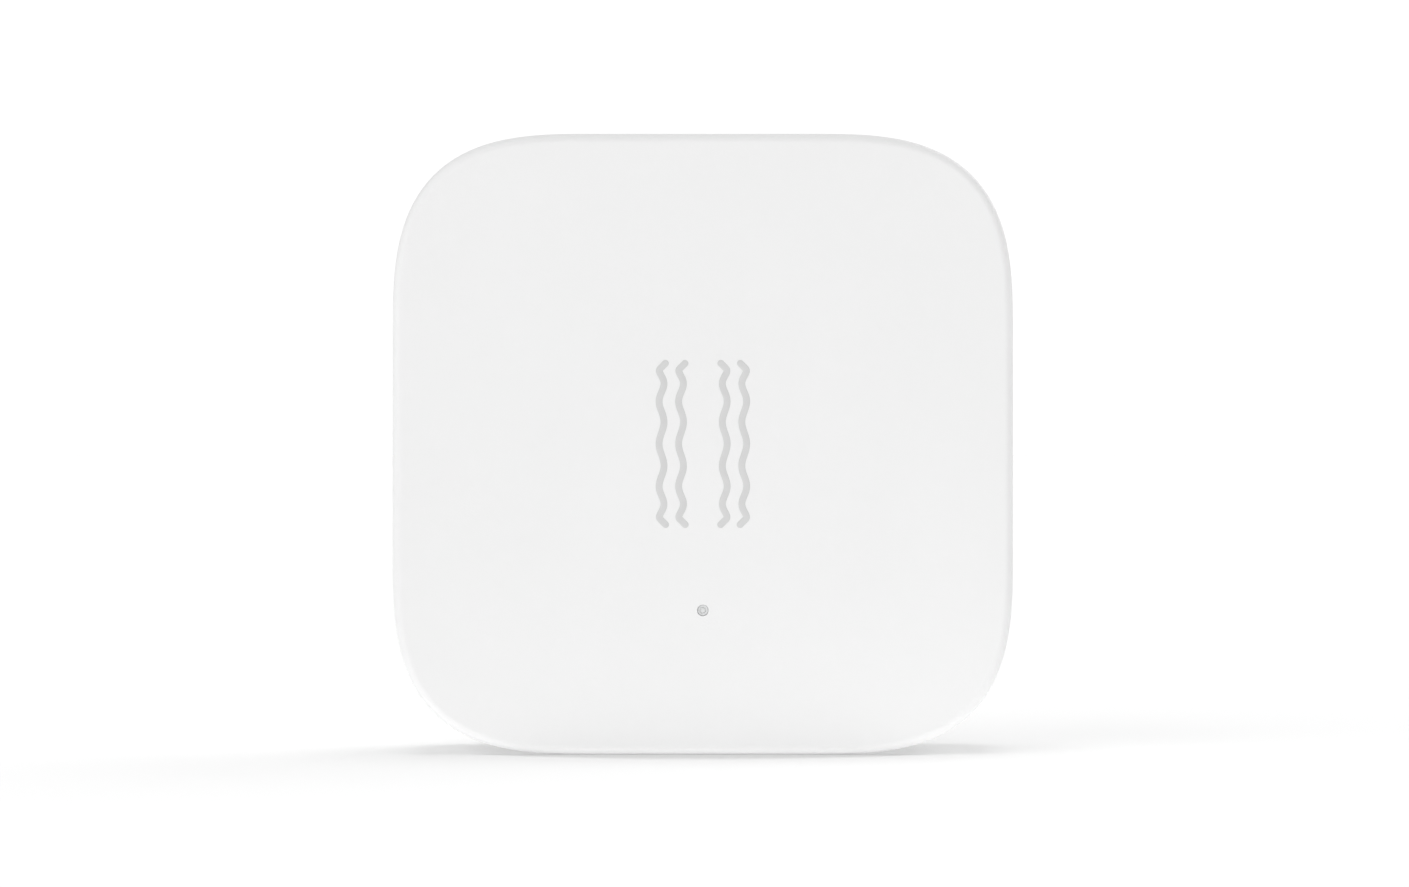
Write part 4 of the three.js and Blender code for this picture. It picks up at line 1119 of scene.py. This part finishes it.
# %% Finish the loaded nodes
for row in frame["record"]["subparts"]:
    shape = frame["nodes"][row["node"]].data
    shape.materials.clear()
    shape.materials.append(finishes[row["material_slot"]])

# %% [markdown]
# ## Parts on the board
# The parts are small, and each is a stack of rounded rectangles. A capacitor's or resistor's stack runs
# along the part, and widens at both ends into tinned caps. A chip's stack rises from the board, and ends in
# a rounded top edge with a dimple that marks its first pin.


# %% Stack rounded rectangles
def stacked(name, middle, sizes, along):
    """A piece from rounded rectangles stacked along axis number along.

    sizes has a row (place, first size, second size) for each ring, about the middle. A ring has the points
    (a sgn(cos t) |cos t|^q, b sgn(sin t) |sin t|^q), with a and b half its sizes. A small q of a fifth
    makes it a rectangle with soft corners.
    """
    place, first, second = np.asarray(sizes, float).T[..., None]
    t = np.linspace(0, 2 * np.pi, 48, endpoint=False) + np.pi / 48
    circle = np.stack([np.cos(t), np.sin(t)])
    square = np.sign(circle) * np.abs(circle) ** 0.2
    others = [axis for axis in range(3) if axis != along]
    grid = np.zeros((len(sizes), len(t), 3))
    grid[..., along] = place
    grid[..., others[0]] = first / 2 * square[0]
    grid[..., others[1]] = second / 2 * square[1]
    return grid_piece(name, grid + np.asarray(middle, float))


def second_finish(piece, look, along, limits):
    """Give another finish to the faces whose middle lies outside the two limits along an axis."""
    piece.data.materials.append(look)
    middles = np.zeros(len(piece.data.polygons) * 3)
    piece.data.polygons.foreach_get("center", middles)
    place = middles.reshape(-1, 3)[:, along]
    outside = (place < limits[0]) | (place > limits[1])
    piece.data.polygons.foreach_set("material_index", outside.astype(np.int32))


# %% Make the capacitors, resistors and the inductor
CAP_SHARE = 0.24
CAP_STEP = 0.04 * MM
two_ended_slots = {"reservoir_capacitor": "ceramic", "power_inductor": "black_moulding"}
two_ended_slots |= {f"capacitor_{i}": "ceramic" for i in range(1, 7)}
two_ended_slots |= {f"resistor_{i}": "black_moulding" for i in range(1, 5)}
for node, slot in two_ended_slots.items():
    low, high = (np.array(corner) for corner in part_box(node))
    size, middle = high - low, (low + high) / 2
    along = 0 if size[0] > size[2] else 2
    length = size[along]
    across = np.delete(size, along)
    soft = 0.12 * across.min()
    end = -length / 2
    cap_end = end + CAP_SHARE * length
    profile = np.array([
        (end, 0, 0),
        (end, *(across - 2 * soft)),
        (end + 0.3 * soft, *(across - 0.6 * soft)),
        (end + soft, *across),
        (cap_end, *across),
        (cap_end + CAP_STEP / 2, *(across - CAP_STEP)),
    ])
    profile = np.vstack([profile, profile[::-1] * [-1, 1, 1]])
    part = stacked(f"{node}_body", middle, profile, along)
    finish_piece(part, "housing", slot, [node])
    second_finish(part, finishes["plated_can"], along, (middle[along] + cap_end, middle[along] - cap_end))

# %% Make the chips
CHIP_ROUND = 0.1 * MM
DIMPLE_RADIUS = 0.18 * MM
DIMPLE_DEPTH = 0.04 * MM
PAD_SIZE = (0.25 * MM, 0.15 * MM, 0.3 * MM)
PAD_SHARE = 0.84
PAD_PROUD = 0.02 * MM


def chip_profile(size, foot, top, edge):
    """The rings of a block that stands on y = foot and ends at y = top towards the viewer."""
    steps = bend((0, top + edge), (edge, top), along=1, steps=4)
    walls = [(foot, 0, 0), (foot, size[0], size[2])]
    shoulder = [(y, size[0] - 2 * inset, size[2] - 2 * inset) for inset, y in steps]
    return walls + shoulder + [(top, 0, 0)]


def pad_rows(name, node, count):
    """The solder pads of a chip: count small plates along each of its four sides, flush with its foot.

    A pad's size is its width along the side, its height off the board and its depth under the chip.
    """
    low, high = (np.array(corner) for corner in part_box(node))
    middle, size = (low + high) / 2, high - low
    along = (np.arange(count) - (count - 1) / 2) * size[0] * PAD_SHARE / (count - 1)
    box = np.array([(x, y, z) for x in (-0.5, 0.5) for y in (0, 1) for z in (-0.5, 0.5)]) * PAD_SIZE
    rows = []
    for quarter in range(4):
        reach = (size[0] if quarter % 2 else size[2]) / 2 + PAD_PROUD - PAD_SIZE[2] / 2
        local = box[None] + np.stack([along, 0 * along, 0 * along + reach], -1)[:, None]
        angle = quarter * np.pi / 2
        x = local[..., 0] * np.cos(angle) - local[..., 2] * np.sin(angle)
        z = local[..., 0] * np.sin(angle) + local[..., 2] * np.cos(angle)
        rows.append(np.stack([middle[0] + x, high[1] - local[..., 1], middle[2] + z], -1))
    corners = np.concatenate(rows)
    sides = np.array([(0, 1, 3, 2), (4, 6, 7, 5), (0, 4, 5, 1), (2, 3, 7, 6), (0, 2, 6, 4), (1, 5, 7, 3)])
    faces = (sides[None] + 8 * np.arange(len(corners))[:, None, None]).reshape(-1, 4)
    mesh = bpy.data.meshes.new(name)
    mesh.from_pydata(corners.reshape(-1, 3).tolist(), [], faces.tolist())
    shape = bmesh.new()
    shape.from_mesh(mesh)
    bmesh.ops.recalc_face_normals(shape, faces=shape.faces)
    shape.to_mesh(mesh)
    shape.free()
    piece = bpy.data.objects.new(name, mesh)
    scene.collection.objects.link(piece)
    return piece


for node, count in (("radio_chip", 10), ("accelerometer", 3), ("memory_chip", 4)):
    low, high = (np.array(corner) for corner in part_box(node))
    size, middle = high - low, (low + high) / 2
    profile = chip_profile(size, high[1] - middle[1], low[1] - middle[1], CHIP_ROUND)
    body = stacked(f"{node}_body", middle, profile, 1)
    dimple_x, dimple_z = low[0] + 3 * DIMPLE_RADIUS, high[2] - 3 * DIMPLE_RADIUS
    dimple = pin("dimple", DIMPLE_RADIUS, low[1] + DIMPLE_DEPTH, low[1] - SLIP, dimple_x, dimple_z, 24)
    carve(body, [dimple], "DIFFERENCE")
    finish_piece(body, "housing", "black_moulding", [node])
    leads = pad_rows(f"{node}_pads", node, count)
    finish_piece(leads, "housing", "plated_contact")

# %% [markdown]
# The crystals are metal lids on ceramic trays, and the status lamp is clear resin over a white tray.

# %% Make the crystals and the status lamp
TRAY_SHARE = 0.45
LID_STEP = 0.24 * MM
LID_ROUND = 0.06 * MM
for node, lid_slot, tray_slot in (
    ("radio_crystal", "plated_can", "ceramic"),
    ("clock_crystal", "plated_can", "ceramic"),
    ("status_led", "led_resin", "case_plastic"),
):
    low, high = (np.array(corner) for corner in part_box(node))
    size, middle = high - low, (low + high) / 2
    tray_y = high[1] - TRAY_SHARE * size[1] - middle[1]
    lid = size - [LID_STEP, 0, LID_STEP]
    foot, top = high[1] - middle[1], low[1] - middle[1]
    profile = [(foot, 0, 0), (foot, size[0], size[2]), (tray_y, size[0], size[2])]
    profile += [(tray_y, lid[0], lid[2])] + chip_profile(lid, 0, top, LID_ROUND)[2:]
    part = stacked(f"{node}_body", middle, profile, 1)
    finish_piece(part, "housing", lid_slot, [node])
    second_finish(part, finishes[tray_slot], 1, (-math.inf, middle[1] + tray_y + micron))

# %% [markdown]
# ## Coin cell and screws
# A cell is two drawn steel cups, one crimped over the other with a seal between them. Their edges are
# rounded because the steel is bent there. The screws are turned, and a cross-shaped tool cuts the recess.

# %% Turn the coin cell
CAN_RADIUS = 10 * MM
CELL_WALL = 0.25 * MM
can_low, can_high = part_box("cell_can")
cup_low, cup_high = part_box("cell_cap")
cup_radius = (cup_high.x - cup_low.x) / 2
crimp = CAN_RADIUS - 0.95 * MM
can_round, crimp_round, cup_round = 0.35 * MM, 0.5 * MM, 0.3 * MM
can_profile = np.vstack([
    [(0, can_high.y)],
    bend((CAN_RADIUS - can_round, can_high.y), (CAN_RADIUS, can_high.y - can_round), 0, 10, LEAD),
    bend((CAN_RADIUS, can_low.y + can_round), (CAN_RADIUS - crimp_round, can_low.y), 1, 10, LEAD),
    [(crimp, can_low.y), (crimp, can_low.y + CELL_WALL), (CAN_RADIUS - CELL_WALL, can_low.y + 0.45 * MM)],
    [(CAN_RADIUS - CELL_WALL, can_high.y - CELL_WALL), (0, can_high.y - CELL_WALL)],
])
finish_piece(turned("cell_can_drawn", can_profile, sides=160), "housing", "cell_steel", ["cell_can"])
cup_profile = np.vstack([
    [(cup_radius - CELL_WALL, cup_high.y), (cup_radius, cup_high.y)],
    bend((cup_radius, cup_low.y + cup_round), (cup_radius - cup_round, cup_low.y), 1, 10, LEAD),
    [(0, cup_low.y), (0, cup_low.y + CELL_WALL), (cup_radius - CELL_WALL, cup_low.y + CELL_WALL)],
])
cell_cup = turned("cell_cap_drawn", cup_profile, sides=160, closed=True)
finish_piece(cell_cup, "housing", "cell_steel", ["cell_cap"])

# %% Turn the screws
SHANK_RADIUS = 0.65 * MM
RECESS_DEPTH = 0.45 * MM
SLOT_HALF = 0.17 * MM
SLOT_REACH = 0.7 * MM
for number in (1, 2):
    low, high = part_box(f"board_screw_{number}")
    x, z = SCREWS[number - 1]
    radius = (high.z - low.z) / 2
    seat_y = high.y - 0.75 * MM
    profile = np.vstack([
        [(0, high.y)],
        bend((radius - 0.45 * MM, high.y), (radius, high.y - 0.4 * MM), 0, 8),
        [(radius, seat_y), (SHANK_RADIUS, seat_y), (SHANK_RADIUS, low.y + 0.6 * MM)],
        [(0.15 * MM, low.y), (0, low.y)],
    ])
    screw = turned(f"board_screw_{number}_turned", profile, x, MIDDLE_Z + z, 64)
    recess_y = (high.y - RECESS_DEPTH, high.y + SLIP)
    flat_section = rectangle(*recess_y, z - SLOT_HALF, z + SLOT_HALF)
    flat_slot = prism("recess", flat_section, x - SLOT_REACH, x + SLOT_REACH)
    upright_section = rectangle(*recess_y, -x - SLOT_HALF, -x + SLOT_HALF)
    upright_slot = prism("recess", upright_section, z - SLOT_REACH, z + SLOT_REACH, 1)
    carve(screw, [flat_slot, upright_slot], "DIFFERENCE")
    finish_piece(screw, "housing", "screw_steel", [f"board_screw_{number}"])

# %% [markdown]
# ## Battery cradle
# The cradle is a ring with a ledge that the cell rests on, and four arms that reach the corner fixings. It
# is turned, joined and cut with the same tools as the covers. Its edges are rounded where fingers put the
# cell in.

# %% Make the battery cradle
cradle_low, cradle_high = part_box("battery_cradle")
CRADLE_BORE = 10.25 * MM
LEDGE_BORE = 9.3 * MM
ledge_y = cradle_low.y + 0.65 * MM
CRADLE_RADIUS = 11.15 * MM
EAR_THICKNESS = 0.7 * MM
EAR_RADIUS = 1.9 * MM
EAR_HOLE = 0.9 * MM
ARM_WIDTH = 3 * MM
GAP_WIDTH = 4.8 * MM
cradle_profile = np.vstack([
    [(LEDGE_BORE, cradle_low.y), (LEDGE_BORE, ledge_y), (CRADLE_BORE, ledge_y)],
    bend((CRADLE_BORE, cradle_high.y - 0.3 * MM), (CRADLE_BORE + 0.3 * MM, cradle_high.y), 1, 8),
    bend((CRADLE_RADIUS - 0.2 * MM, cradle_high.y), (CRADLE_RADIUS, cradle_high.y - 0.2 * MM), 0, 6),
    [(CRADLE_RADIUS, cradle_low.y)],
])
cradle = turned("cradle_ring", cradle_profile, sides=160, closed=True)
ear_y = (cradle_low.y, cradle_low.y + EAR_THICKNESS)
arm_section = rectangle(*ear_y, -ARM_WIDTH / 2, ARM_WIDTH / 2)
arm_reach = FIXING * math.sqrt(2)
ears = [
    prism("arm", arm_section, CRADLE_RADIUS - 0.3 * MM, arm_reach, quarter)
    for quarter in (0.5, 1.5, 2.5, 3.5)
]
ears += [pin("ear", EAR_RADIUS, *ear_y, x, MIDDLE_Z + z) for x, z in SCREWS + PINS]
ear_hole_y = (ear_y[0] - SLIP, ear_y[1] + SLIP)
openings = [pin("ear_hole", EAR_HOLE, *ear_hole_y, x, MIDDLE_Z + z) for x, z in SCREWS + PINS]
gap_section = rectangle(cradle_low.y - SLIP, 1.9 * MM, -GAP_WIDTH / 2, GAP_WIDTH / 2)
openings.append(prism("contact_gap", gap_section, -CRADLE_RADIUS - 1 * MM, -9 * MM))
carve(cradle, ears, "UNION")
carve(cradle, openings, "DIFFERENCE")
finish_piece(cradle, "housing", "inner_plastic", ["battery_cradle"])
